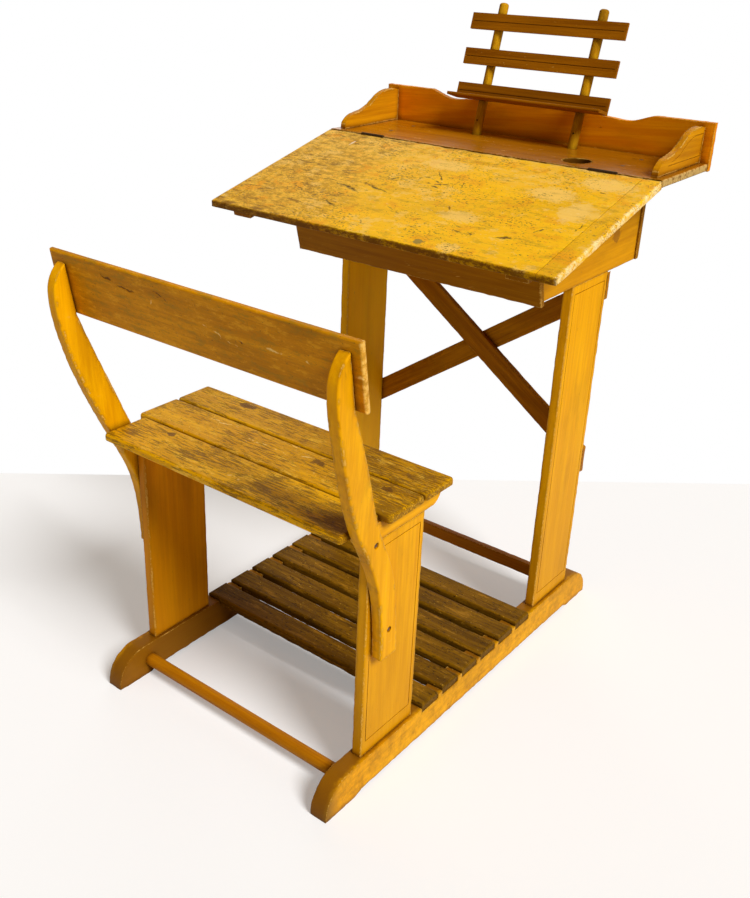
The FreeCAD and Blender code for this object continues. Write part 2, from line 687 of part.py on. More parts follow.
straight_brace = brace("straight_brace", -1, bowed=False)
bowed_brace = brace("bowed_brace", 1, bowed=True)
brace_rise_at_end = upright_middle_x * math.tan(math.radians(size("brace_slope")))
brace_face_y = size("desk_rear_y") + size("brace_thickness")
brace_heads = []
for end_side in (-1, 1):
    for rise in (-1, 1):
        for step in (-0.22, 0.22):
            head_z = size("brace_centre_height") + rise * brace_rise_at_end + step * size("brace_width")
            point = Vector(end_side * upright_middle_x, brace_face_y, head_z)
            brace_heads.append((point, Vector(0, -1, 0)))
brace_screws = fasteners("brace_screws", brace_heads, size("screw_head_radius"), size("screw_shank_radius"),
                         size("brace_thickness") + size("brace_screw_bite"))
cut_for("brace_straight", straight_brace, [brace_screws])
cut_for("brace_bowed", bowed_brace, [brace_screws])

seat_upright_right = cut_for("seat_upright_right", seat_upright, [post_screws])
mirrored("seat_upright_left", seat_upright_right)
seat_bearer_right = cut_for("seat_bearer_right", bearer, [post_screws, seat_screws])
mirrored("seat_bearer_left", seat_bearer_right)

runner = new_body("runner_blank")
runner_side = sketch_on(runner, "YZ_Plane")
polygon(runner_side, [("0", "0"), ("foot_length", "0"), ("foot_length + foot_step", "foot_relief"),
                      ("runner_length - foot_length - foot_step", "foot_relief"),
                      ("runner_length - foot_length", "0"), ("runner_length", "0"),
                      ("runner_length", "runner_height"), ("0", "runner_height")])
runner_bar = pad(runner, runner_side, "runner_thickness")


def top_corner(centre, run, edge):
    return abs(run.x) > 0.999 and centre.z > size("runner_height") - 1


near_nose = fillet(runner, runner_bar, "near_end_radius",
                   lambda centre, run, edge: top_corner(centre, run, edge) and centre.y < 1)
fillet(runner, near_nose, "far_end_radius",
       lambda centre, run, edge: top_corner(centre, run, edge) and centre.y > size("runner_length") - 1)
place(runner, "runner_inner", "seat_end_y")
runner_right = cut_for("runner_right", runner, [seat_upright, desk_upright, seat_rod, stretcher, slat_nails]
                       + slat_notches)
mirrored("runner_left", runner_right)

# ---------------------------------------------------------------------------------------------
# Desk box
# ---------------------------------------------------------------------------------------------

side = new_body("box_side")
side_face = sketch_on(side, "YZ_Plane")
polygon(side_face, [("side_low_y", "desk_underside"), ("box_back_y", "desk_underside"),
                    ("box_back_y", "shelf_underside"), ("side_bend_y", "shelf_underside"),
                    ("side_high_y", "side_high_z")])
pad(side, side_face, "side_thickness")
place(side, "upright_outer - side_thickness")

front = new_body("box_front_board")
front_end = sketch_on(front, "YZ_Plane")
rectangle(front_end, "0 - box_front_reach", "box_top - box_front_height", "box_front_inner", "box_top")
front_bar = pad(front, front_end, "2 * (upright_outer + box_front_overhang)", both_ways=True)
chamfer(front, front_bar, "arris", lambda centre, run, edge: centre.y < -size("box_front_reach") + 0.1)
place(front, "0", "hinge_y", "hinge_z", "lid_slope")
keep("box_front", front)

back = new_body("box_back_board")
back_face = sketch_on(back, "XZ_Plane")
rectangle(back_face, "0 - upright_outer - box_back_overhang", "desk_underside",
          "upright_outer + box_back_overhang", "shelf_underside")
pad(back, back_face, "box_back_thickness", backwards=True)
place(back, "0", "box_back_y")
keep("box_back", back)

box_floor = block("box_floor_board", "2 * (upright_outer - side_thickness)", "box_back_y - side_low_y",
                  "box_floor_thickness", "0 - (upright_outer - side_thickness)", "side_low_y",
                  "desk_underside")
cut_for("box_floor", box_floor, [desk_upright, twin_of(desk_upright)])

# ---------------------------------------------------------------------------------------------
# Shelf, gallery and guide batten
# ---------------------------------------------------------------------------------------------

shelf = new_body("shelf_board")
shelf_face = sketch_on(shelf, "XY_Plane")
rectangle(shelf_face, "0 - shelf_half", "0", "shelf_half", "shelf_depth")
shelf_plate = pad(shelf, shelf_face, "shelf_thickness")
fillet(shelf, shelf_plate, "shelf_round", lambda centre, run, edge: abs(run.y) > 0.999)
ink = sketch_on(shelf, "XY_Plane", "shelf_thickness")
circle(ink, "ink_hole_x", "shelf_depth - ink_hole_from_gallery", "ink_hole_radius")
pocket(shelf, ink, "shelf_thickness + 1")
place(shelf, "0", "shelf_front_y", "shelf_underside")

guide = block("rod_guide_blank", "guide_length", "guide_width", "guide_thickness", "0 - guide_length / 2",
              "box_back_y - guide_width", "shelf_underside - guide_thickness")
rod_holes = []
for name, offset in (("right", "rod_offset"), ("left", "0 - rod_offset")):
    rod_holes.append(cylinder("rod_hole_" + name, "rod_radius + rod_clearance", "2 * rod_below + rod_radius",
                              offset, "rod_base_y - (rod_below + rod_radius) * sin(rod_lean)",
                              "shelf_top - (rod_below + rod_radius) * cos(rod_lean)", tilt="-rod_lean"))
cut_for("rod_guide_batten", guide, rod_holes)

side_middle_x = size("upright_outer") - size("side_thickness") / 2
shelf_heads = []
for shelf_side in (1, -1):
    for back_distance in ("shelf_screw_rear", "shelf_screw_front"):
        head_y = size("gallery_y") - size(back_distance)
        point = Vector(shelf_side * side_middle_x, head_y, size("shelf_top"))
        shelf_heads.append((point, Vector(0, 0, -1)))
shelf_screws = fasteners("shelf_screws", shelf_heads, size("screw_head_radius"), size("screw_shank_radius"),
                         size("shelf_thickness") + size("shelf_screw_bite"))


def gallery_profile():
    """Top of the gallery: level ears, a soft ogee down to a dip on each side and a low crown between."""
    half, shoulder_x, dip_x = size("gallery_half"), size("gallery_shoulder_x"), size("gallery_dip_x")
    ear_z, dip_z = size("gallery_end_height"), size("gallery_dip_height")
    crown_z = size("gallery_crown_height")
    middle = Vector((shoulder_x + dip_x) / 2, 0, (ear_z + dip_z) / 2)
    swell = (crown_z - dip_z) / 4
    right = [Vector(dip_x * 0.45, 0, crown_z - swell), Vector(dip_x * 0.8, 0, dip_z + swell),
             Vector(dip_x, 0, dip_z), middle, Vector(shoulder_x, 0, ear_z)]
    left = [Vector(-point.x, 0, point.z) for point in reversed(right)]
    return half, ear_z, left + [Vector(0, 0, crown_z)] + right


half, ear_z, crest = gallery_profile()
low_left, low_right = Vector(-half, 0, -size("shelf_thickness")), Vector(half, 0, -size("shelf_thickness"))
high_left, high_right = Vector(-half, 0, ear_z), Vector(half, 0, ear_z)
gallery_wire = Part.Wire([spline_edge(crest), line_edge(crest[-1], high_right),
                          line_edge(high_right, low_right), line_edge(low_right, low_left),
                          line_edge(low_left, high_left), line_edge(high_left, crest[0])])
gallery = keep("gallery_back", doc.addObject("Part::Feature", "gallery_back"))
gallery.Shape = Part.Face(gallery_wire).extrude(Vector(0, size("gallery_thickness"), 0))
place(gallery, "0", "gallery_y", "shelf_top")

# stations of a wing's top edge: share of its length, and share of its rise above the nose
WING_STATIONS = ((0.1, 0.26), (0.31, 0.39), (0.46, 0.56), (0.57, 0.77), (0.7, 0.94), (0.84, 1.0))


def wing_station(along, up, drop=0):
    rise = size("wing_height") - size("wing_nose")
    return Vector(0, -size("wing_length") * (1 - along), size("wing_nose") + rise * up - drop)


def plate(wire, thickness):
    return Part.Face(wire).extrude(Vector(thickness, 0, 0))


def line_plate(inset):
    """The panel inside the line cut on a wing: level below, and parallel to the wing's edge above."""
    margin = size("wing_line_margin") + inset
    top = [wing_station(along, up, margin) for along, up in WING_STATIONS[2:]]
    front = Vector(0, -size("wing_length") * 0.8 + 2 * inset, margin)
    rear_y = -inset - size("wing_line_rear")
    rear_low, rear_high = Vector(0, rear_y, margin), Vector(0, rear_y, top[-1].z)
    outline = Part.Wire([line_edge(front, top[0]), spline_edge(top), line_edge(top[-1], rear_high),
                         line_edge(rear_high, rear_low), line_edge(rear_low, front)])
    return plate(outline, size("line_depth") + 1)


wing_front = wing_station(0, 0)
wing_rear = Vector(0, 0, size("wing_height") - size("wing_heel_drop"))
corner_front, corner_rear = Vector(0, -size("wing_length"), 0), Vector(0, 0, 0)
wing_top = [wing_front] + [wing_station(along, up) for along, up in WING_STATIONS] + [wing_rear]
wing_wire = Part.Wire([spline_edge(wing_top), line_edge(wing_rear, corner_rear),
                       line_edge(corner_rear, corner_front), line_edge(corner_front, wing_front)])
wing_line = line_plate(0).cut(line_plate(size("line_width")))
wing_line.translate(Vector(size("wing_thickness") - size("line_depth"), 0, 0))
wing = doc.addObject("Part::Feature", "wing_blank")
wing.Shape = plate(wing_wire, size("wing_thickness")).cut(wing_line)
place(wing, "wing_outer - wing_thickness", "gallery_y", "shelf_top")
mirrored("gallery_wing_left", keep("gallery_wing_right", wing))

# ---------------------------------------------------------------------------------------------
# Hinges
# ---------------------------------------------------------------------------------------------

KNUCKLES = 5
knuckle_length = "(hinge_length / %d)" % KNUCKLES


def leaf_blank(label, direction, own):
    """One leaf: a plate on one side of the pin, with its own share of the knuckles, bored for the pin."""
    start_x = "hinge_offset - hinge_length / 2"
    if direction > 0:
        near = "hinge_y + leaf_half_gap"
    else:
        near = "hinge_y - leaf_half_gap - leaf_thickness"
    plate_top = "(knuckle_radius + slot_clearance)"
    pieces = [block(label + "_plate", "hinge_length", "leaf_thickness", "leaf_height - " + plate_top,
                    start_x, near, "hinge_z - leaf_height")]
    barrel = knuckle_length + " - knuckle_gap"
    for knuckle in own:
        begin = start_x + " + " + knuckle_length + " * %d + knuckle_gap / 2" % knuckle
        pieces.append(cylinder(label + "_knuckle_%d" % knuckle, "knuckle_radius", barrel, begin, "hinge_y",
                               "hinge_z", turn="x"))
        pieces.append(block(label + "_tab_%d" % knuckle, barrel, "leaf_thickness", "leaf_height / 2", begin,
                            near, "hinge_z - leaf_height / 2"))
    bore = cylinder(label + "_bore", "pin_radius + pin_clearance", "hinge_length + 2 * slot_end_gap",
                    start_x + " - slot_end_gap", "hinge_y", "hinge_z", turn="x")
    blank = joined(label + "_blank", pieces)
    return cut_between(label + "_bored", blank, bore)


def leaf_heads(direction):
    """Places of the three screws of each leaf, on both hinges."""
    face_y = size("hinge_y") + direction * size("leaf_half_gap")
    screw_z = size("hinge_z") - size("leaf_height") * 0.66
    heads = []
    for side in (1, -1):
        for share in (0.14, 0.5, 0.86):
            x = side * (size("hinge_offset") + (share - 0.5) * size("hinge_length"))
            heads.append((Vector(x, face_y, screw_z), Vector(0, direction, 0)))
    return heads


shelf_leaf_blank = leaf_blank("hinge_shelf_leaf", 1, (0, 2, 4))
lid_leaf_blank = leaf_blank("hinge_lid_leaf", -1, (1, 3))
shelf_leaf_screws = fasteners("hinge_screws", leaf_heads(1), size("leaf_screw_head_radius"),
                              size("leaf_screw_shank_radius"), size("leaf_screw_length"))
shelf_leaf = cut_for("hinge_shelf_leaf_right", shelf_leaf_blank, [shelf_leaf_screws])
mirrored("hinge_shelf_leaf_left", shelf_leaf)
pin = cylinder("hinge_pin", "pin_radius", "hinge_length", "hinge_offset - hinge_length / 2", "hinge_y",
               "hinge_z", turn="x")
keep("hinge_pins", bundle("hinge_pins", [pin, twin_of(pin)]))

slots = []
slot_length = "hinge_length + 2 * slot_end_gap"
for name, middle in (("right", "hinge_offset"), ("left", "0 - hinge_offset")):
    slot_start = middle + " - hinge_length / 2 - slot_end_gap"
    slots.append(cylinder("knuckle_slot_" + name, "knuckle_radius + slot_clearance", slot_length, slot_start,
                          "hinge_y", "hinge_z", turn="x"))
    slots.append(block("leaf_slot_" + name, slot_length, "2 * (leaf_half_gap + leaf_thickness)",
                       "leaf_height + knuckle_radius + shelf_step", slot_start,
                       "hinge_y - leaf_half_gap - leaf_thickness", "hinge_z - leaf_height"))
shelf_part = cut_for("shelf", shelf, rod_holes + slots + [shelf_leaf_screws, shelf_screws])
box_side_right = cut_for("box_side_right", side, [shelf_screws])
mirrored("box_side_left", box_side_right)
desk_upright_right = cut_for("desk_upright_right", desk_upright, [brace_screws])
mirrored("desk_upright_left", desk_upright_right)

# ---------------------------------------------------------------------------------------------
# Lid, in a frame whose origin is the hinge axis and whose -Y runs down the slope
# ---------------------------------------------------------------------------------------------


def lid_section(body, left, right):
    """A length of the lid's board between two places along X; its rear edge is plumb with the lid shut."""
    end = sketch_on(body, "YZ_Plane", left)
    polygon(end, [("0 - lid_depth", "lid_underside"),
                  ("(lid_underside * sin(lid_slope) - joint_half_gap) / cos(lid_slope)", "lid_underside"),
                  ("(lid_top * sin(lid_slope) - joint_half_gap) / cos(lid_slope)", "lid_top"),
                  ("0 - lid_depth", "lid_top")])
    return pad(body, end, right + " - (" + left + ")")


def front_corner(centre, run, edge):
    return abs(run.x) > 0.999 and centre.y < -size("lid_depth") + 1


panel = new_body("lid_board")
panel_bar = lid_section(panel, "clamp_width - lid_half", "lid_half - clamp_width")
panel_rounded = fillet(panel, panel_bar, "lid_round", front_corner)
chamfer(panel, panel_rounded, "clamp_chamfer",
        lambda centre, run, edge: abs(run.y) > 0.9 and centre.z > size("lid_top") - 1)
place(panel, "0", "hinge_y", "hinge_z", "lid_slope")

clamp = new_body("lid_clamp")
clamp_bar = lid_section(clamp, "lid_half - clamp_width", "lid_half")
clamp_rounded = fillet(clamp, clamp_bar, "lid_round",
                       lambda centre, run, edge: front_corner(centre, run, edge)
                       or (abs(run.y) > 0.9 and centre.x > size("lid_half") - 1))
chamfer(clamp, clamp_rounded, "clamp_chamfer",
        lambda centre, run, edge: abs(run.y) > 0.9 and centre.z > size("lid_top") - 1
        and centre.x < size("lid_half") - size("clamp_width") + 0.1)
place(clamp, "0", "hinge_y", "hinge_z", "lid_slope")
mirrored("lid_clamp_left", keep("lid_clamp_right", clamp))

batten = new_body("lid_batten")
batten_face = sketch_on(batten, "XY_Plane", "lid_underside - batten_thickness")
rectangle(batten_face, "upright_outer + batten_side_gap", "batten_front_inset - lid_depth",
          "upright_outer + batten_side_gap + batten_width", "0 - batten_rear_inset")
pad(batten, batten_face, "batten_thickness")
place(batten, "0", "hinge_y", "hinge_z", "lid_slope")

slope = math.radians(size("lid_slope"))
down_slope = Vector(0, -math.cos(slope), -math.sin(slope))
lid_up = Vector(0, -math.sin(slope), math.cos(slope))
hinge_point = Vector(0, size("hinge_y"), size("hinge_z"))
batten_middle = size("upright_outer") + size("batten_side_gap") + size("batten_width") / 2
batten_face_point = hinge_point + lid_up * (size("lid_underside") - size("batten_thickness"))
batten_heads = []
for batten_side in (1, -1):
    for share in (0.2, 0.5, 0.85):
        along = Vector(batten_side * batten_middle, 0, 0) + down_slope * (size("lid_depth") * share)
        batten_heads.append((batten_face_point + along, lid_up))
lid_screws = fasteners("lid_screws", batten_heads + leaf_heads(-1), size("leaf_screw_head_radius"),
                       size("leaf_screw_shank_radius"), size("leaf_screw_length"))
lid_leaf = cut_for("hinge_lid_leaf_right", lid_leaf_blank, [lid_screws])
mirrored("hinge_lid_leaf_left", lid_leaf)
batten_right = cut_for("lid_batten_right", batten, [lid_screws])
mirrored("lid_batten_left", batten_right)
cut_for("lid_panel", panel, slots + [lid_screws])

# ---------------------------------------------------------------------------------------------
# Book rest, in a frame whose +Z runs up the leaning rods from the top of the shelf
# ---------------------------------------------------------------------------------------------

REST_SLATS = ("rest_slat_bottom", "rest_slat_middle", "rest_slat_top")
slat_back = "(rest_notch - rod_radius)"
rest_blanks = []
for number, label in enumerate(REST_SLATS):
    strip = new_body(label + "_blank")
    strip_face = sketch_on(strip, "XZ_Plane", "0 - " + slat_back)
    low = "(rest_first_slat + rest_slat_pitch * %d)" % number
    rectangle(strip_face, "0 - rest_half", low, "rest_half", low + " + rest_slat_width")
    pad(strip, strip_face, "rest_slat_thickness")
    groove = sketch_on(strip, "XZ_Plane", "rest_slat_thickness - " + slat_back)
    rectangle(groove, "rest_groove_margin - rest_half", low + " + rest_slat_width / 2 - line_width / 2",
              "rest_half - rest_groove_margin", low + " + rest_slat_width / 2 + line_width / 2")
    pocket(strip, groove, "line_depth")
    place(strip, "0", "rod_base_y", "shelf_top", "-rod_lean")
    rest_blanks.append(strip)

ledge = new_body("rest_ledge_strip")
ledge_face = sketch_on(ledge, "XY_Plane", "rest_first_slat")
front_of_slat = "(" + slat_back + " - rest_slat_thickness)"
rectangle(ledge_face, "0 - rest_half", front_of_slat + " - ledge_depth", "rest_half", front_of_slat)
ledge_strip = pad(ledge, ledge_face, "ledge_thickness")
fillet(ledge, ledge_strip, "ledge_round",
       lambda centre, run, edge: abs(run.x) > 0.9 and centre.y < -size("ledge_depth"))
place(ledge, "0", "rod_base_y", "shelf_top", "-rod_lean")
keep("rest_ledge", ledge)

rod_slope = math.radians(size("rod_lean"))
rod_up = Vector(0, math.sin(rod_slope), math.cos(rod_slope))
rod_in = Vector(0, math.cos(rod_slope), -math.sin(rod_slope))
rod_base = Vector(0, size("rod_base_y"), size("shelf_top"))
slat_face = rod_in * (size("rest_notch") - size("rod_radius") - size("rest_slat_thickness"))
rest_heads = []
for rod_side in (1, -1):
    for number in range(len(REST_SLATS)):
        height = size("rest_first_slat") + number * size("rest_slat_pitch") + size("rest_slat_width") * 0.78
        point = rod_base + Vector(rod_side * size("rod_offset"), 0, 0) + rod_up * height + slat_face
        rest_heads.append((point, rod_in))
rest_nails = fasteners("rest_nails", rest_heads, size("nail_head_radius"), size("nail_shank_radius"),
                       size("rest_slat_thickness") + size("rest_nail_bite"))
for label, blank in zip(REST_SLATS, rest_blanks):
    cut_for(label, blank, [rest_nails])

rod = new_body("rest_rod")
rod_end = sketch_on(rod, "XY_Plane", "0 - rod_below")
circle(rod_end, "rod_offset", "0", "rod_radius")
rod_bar = pad(rod, rod_end, "rod_below + rod_above")
dome = rod.newObject("PartDesign::Fillet", "rest_rod_dome")
dome.Base = (rod_bar, ["Edge%d" % (number + 1) for number, edge in enumerate(rod_bar.Shape.Edges)
                       if edge.BoundBox.ZLength < 0.01 and edge.CenterOfMass.z > 0])
dome.setExpression("Radius", bound("rod_dome"))
doc.recompute()
place(rod, "0", "rod_base_y", "shelf_top", "-rod_lean")
pin_start = (rod_base + Vector(size("rod_offset"), 0, 0) + rod_up * size("rod_pin_hole_height")
             - rod_in * 2 * size("rod_radius"))
pin_hole = doc.addObject("Part::Feature", "rod_pin_hole")
pin_hole.Shape = Part.makeCylinder(size("rod_pin_hole_radius"), 4 * size("rod_radius"), pin_start, rod_in)
rod_right = cut_for("rest_rod_right", rod, rest_blanks + [rest_nails, pin_hole])
mirrored("rest_rod_left", rod_right)

# ---------------------------------------------------------------------------------------------
# Check and write
# ---------------------------------------------------------------------------------------------

doc.recompute()
for thing in doc.Objects:
    if "Invalid" in thing.State or "Error" in thing.State:
        raise RuntimeError("%s did not recompute: %s" % (thing.Label, thing.State))

os.makedirs("parts", exist_ok=True)
whole = FreeCAD.BoundBox()
for label, piece in sorted(PARTS.items()):
    shape = piece.Shape
    if shape.isNull() or not shape.isValid():
        raise RuntimeError(label + " has no valid shape")
    if not shape.Solids:
        raise RuntimeError(label + " has no solid")
    shape.exportStep("parts/" + label + ".step")
    whole.add(shape.BoundBox)
print("%d sub-parts, box x %.1f to %.1f, y %.1f to %.1f, z %.1f to %.1f" % (
    len(PARTS), whole.XMin, whole.XMax, whole.YMin, whole.YMax, whole.ZMin, whole.ZMax))
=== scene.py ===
# %% [markdown]
# # A school desk with a lift lid
#
# This lesson dresses a finished wooden desk: its boards, posts, hinges and screws already stand in
# place as plain solids. What is left is what makes old furniture look old: arrises rounded by
# hands and knees, varnish that has darkened and rubbed through, ink and knife marks on the lid.
# The first cell loads the solids.

# %% Load the desk
import json
import math

import bmesh
import bpy
from mathutils import Matrix, Vector, kdtree, noise


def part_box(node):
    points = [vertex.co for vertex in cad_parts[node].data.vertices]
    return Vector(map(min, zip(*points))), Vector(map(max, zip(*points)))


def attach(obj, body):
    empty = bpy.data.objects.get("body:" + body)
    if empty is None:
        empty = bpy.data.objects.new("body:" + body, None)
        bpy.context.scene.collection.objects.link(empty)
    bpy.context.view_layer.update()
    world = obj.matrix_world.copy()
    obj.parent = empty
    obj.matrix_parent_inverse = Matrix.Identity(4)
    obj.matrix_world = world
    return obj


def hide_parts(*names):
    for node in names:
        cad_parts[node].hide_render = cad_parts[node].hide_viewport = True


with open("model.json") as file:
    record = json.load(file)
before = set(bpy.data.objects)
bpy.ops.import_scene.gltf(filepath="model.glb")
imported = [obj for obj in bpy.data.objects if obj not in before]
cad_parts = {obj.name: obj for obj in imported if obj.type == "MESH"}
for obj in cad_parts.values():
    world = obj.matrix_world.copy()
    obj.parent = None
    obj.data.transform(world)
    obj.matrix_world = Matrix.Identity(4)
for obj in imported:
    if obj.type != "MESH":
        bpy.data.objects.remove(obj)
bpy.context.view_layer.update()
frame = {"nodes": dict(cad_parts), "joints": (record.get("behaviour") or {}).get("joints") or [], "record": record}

BODY_OF, SLOT_OF = {}, {}
for body, members in frame["record"]["behaviour"]["bodies"].items():
    for member in members:
        BODY_OF[member] = body
for entry in frame["record"]["subparts"]:
    SLOT_OF[entry["node"]] = entry["material_slot"]

# %% [markdown]
# ## The camera
#
# A camera can be placed by eye, but a desk is full of straight lines, and where its runners,
# uprights and braces should cross the frame is enough to work the camera out. Two turns and a small
# roll give its direction, and the lens comes from the focal length counted in pixels of a frame of
# 750 by 898. The optical axis doesn't quite meet the middle of the frame, so a small shift moves
# the frame, not the camera.

# %% Camera
FRAME_WIDTH, FRAME_HEIGHT = 750, 898
CAMERA_AT = Vector((0.8758, -1.2166, 1.0881))
CAMERA_AZIMUTH, CAMERA_ELEVATION, CAMERA_ROLL = 39.12, 25.91, 1.22
FOCAL_PIXELS = 1039.96
AXIS_PIXEL = (325.78, 440.11)


def camera_turn(azimuth, elevation, roll):
    """The turn of a camera that looks down at the desk from an azimuth counted from -Y towards +X."""
    turn, tip, bank = (math.radians(angle) for angle in (azimuth, elevation, roll))
    ahead = Vector((-math.sin(turn) * math.cos(tip), math.cos(turn) * math.cos(tip), -math.sin(tip)))
    right = Vector((math.cos(turn), math.sin(turn), 0))
    above = right.cross(ahead)
    rolled_right = right * math.cos(bank) + above * math.sin(bank)
    rolled_above = above * math.cos(bank) - right * math.sin(bank)
    return Matrix((rolled_right, rolled_above, -ahead)).transposed()


lens_data = bpy.data.cameras.new("desk_camera")
lens_data.sensor_width = 36
lens_data.lens = FOCAL_PIXELS * lens_data.sensor_width / FRAME_HEIGHT
lens_data.shift_x = (FRAME_WIDTH / 2 - AXIS_PIXEL[0]) / FRAME_HEIGHT
lens_data.shift_y = (AXIS_PIXEL[1] - FRAME_HEIGHT / 2) / FRAME_HEIGHT
lens_data.clip_start = 0.05
camera = bpy.data.objects.new("desk_camera", lens_data)
camera.matrix_world = (Matrix.Translation(CAMERA_AT)
                       @ camera_turn(CAMERA_AZIMUTH, CAMERA_ELEVATION, CAMERA_ROLL).to_4x4())
bpy.context.scene.collection.objects.link(camera)
bpy.context.scene.camera = camera
bpy.context.scene.view_settings.view_transform = "Standard"
print("lens %.2f mm, shift %.4f, %.4f" % (lens_data.lens, lens_data.shift_x, lens_data.shift_y))

# %% [markdown]
# ## A short way to write node materials
#
# Every finish below is a net of nodes. Written out in full, each would take a page, so this class
# adds nodes and joins them as it goes. All patterns are read from Object coordinates: each piece's
# object stands at the origin, so they are simply places on the desk in metres, and a pattern's
# scale is in repeats per metre.


# %% Node writer
class NodeWriter:
    """The nodes of one material, the place on the desk among them."""

    def __init__(self, name):
        self.material = bpy.data.materials.new(name)
        self.material.use_nodes = True
        self.tree = self.material.node_tree
        self.shader = self.tree.nodes["Principled BSDF"]
        self.place = self.add("TexCoord").outputs["Object"]

    def feed(self, socket, value):
        """Join a node or an output to a socket, or set the socket to a plain value."""
        if isinstance(value, bpy.types.Node):
            value = value.outputs[0]
        if isinstance(value, bpy.types.NodeSocket):
            self.tree.links.new(value, socket)
        elif hasattr(socket.default_value, "__len__") and isinstance(value, (tuple, list, Vector)):
            wanted = len(socket.default_value)
            socket.default_value = (tuple(value) + (1.0,))[:wanted] if wanted == 4 else tuple(value)
        else:
            socket.default_value = value

    def add(self, kind, sockets=None, **settings):
        """A new node of a kind, with its sockets fed and its settings made."""
        made = self.tree.nodes.new("ShaderNode" + kind)
        for setting, value in settings.items():
            setattr(made, setting, value)
        for socket, value in (sockets or {}).items():
            self.feed(made.inputs[socket], value)
        return made

    def math(self, operation, first, second=0.0, third=0.0):
        sockets = {0: first, 1: second}
        if operation == "MULTIPLY_ADD":
            sockets[2] = third
        return self.add("Math", sockets, operation=operation)

    def vector(self, operation, first, second=(0, 0, 0)):
        made = self.add("VectorMath", {0: first, 1: second}, operation=operation)
        return made.outputs["Value"] if operation in ("LENGTH", "DOT_PRODUCT") else made.outputs["Vector"]

    def reach(self, axis):
        """How far along one of the desk's own axes a place lies."""
        return self.add("SeparateXYZ", {0: self.place}).outputs[axis]

    def between(self, value, low, high, start=0.0, end=1.0):
        """start below low, end above high, and a smooth step between."""
        return self.add("MapRange", {"Value": value, "From Min": low, "From Max": high,
                                     "To Min": start, "To Max": end}, interpolation_type="SMOOTHSTEP")

    def stretched(self, scale, turn, shift):
        """The place on the desk, turned (in degrees) and then stretched."""
        turned = self.add("Mapping", {"Vector": self.place,
                                      "Rotation": tuple(math.radians(angle) for angle in turn),
                                      "Location": shift})
        return self.add("Mapping", {"Vector": turned, "Scale": scale})

    def noise(self, scale, turn=(0, 0, 0), shift=(0, 0, 0), detail=4.0, rough=0.55, distort=0.0):
        return self.add("TexNoise", {"Vector": self.stretched(scale, turn, shift), "Scale": 1.0,
                                     "Detail": detail, "Roughness": rough, "Distortion": distort})

    def mix(self, amount, first, second, blend="MIX"):
        mixed = self.add("Mix", data_type="RGBA", blend_type=blend)
        for socket, value in ((0, amount), (6, first), (7, second)):
            self.feed(mixed.inputs[socket], value)
        return mixed.outputs[2]

    def relief(self, height, depth, strength):
        """The bump that the light sees, so deep in metres."""
        bump = self.add("Bump", {"Height": height, "Distance": depth, "Strength": strength})
        self.feed(self.shader.inputs["Normal"], bump)


# %% [markdown]
# ## Brushes
#
# Real marks have no clean outline. A sharp circle or a straight line gives a drawn mark away at
# once, so all spots and strokes share two noises: one leads them astray, and one frays their
# borders. Sharing them also keeps a material small, because each is made once and read many times.

# %% Brushes
FARTHEST_ASTRAY = 0.016  # the whole range by which a mark is led astray, in metres


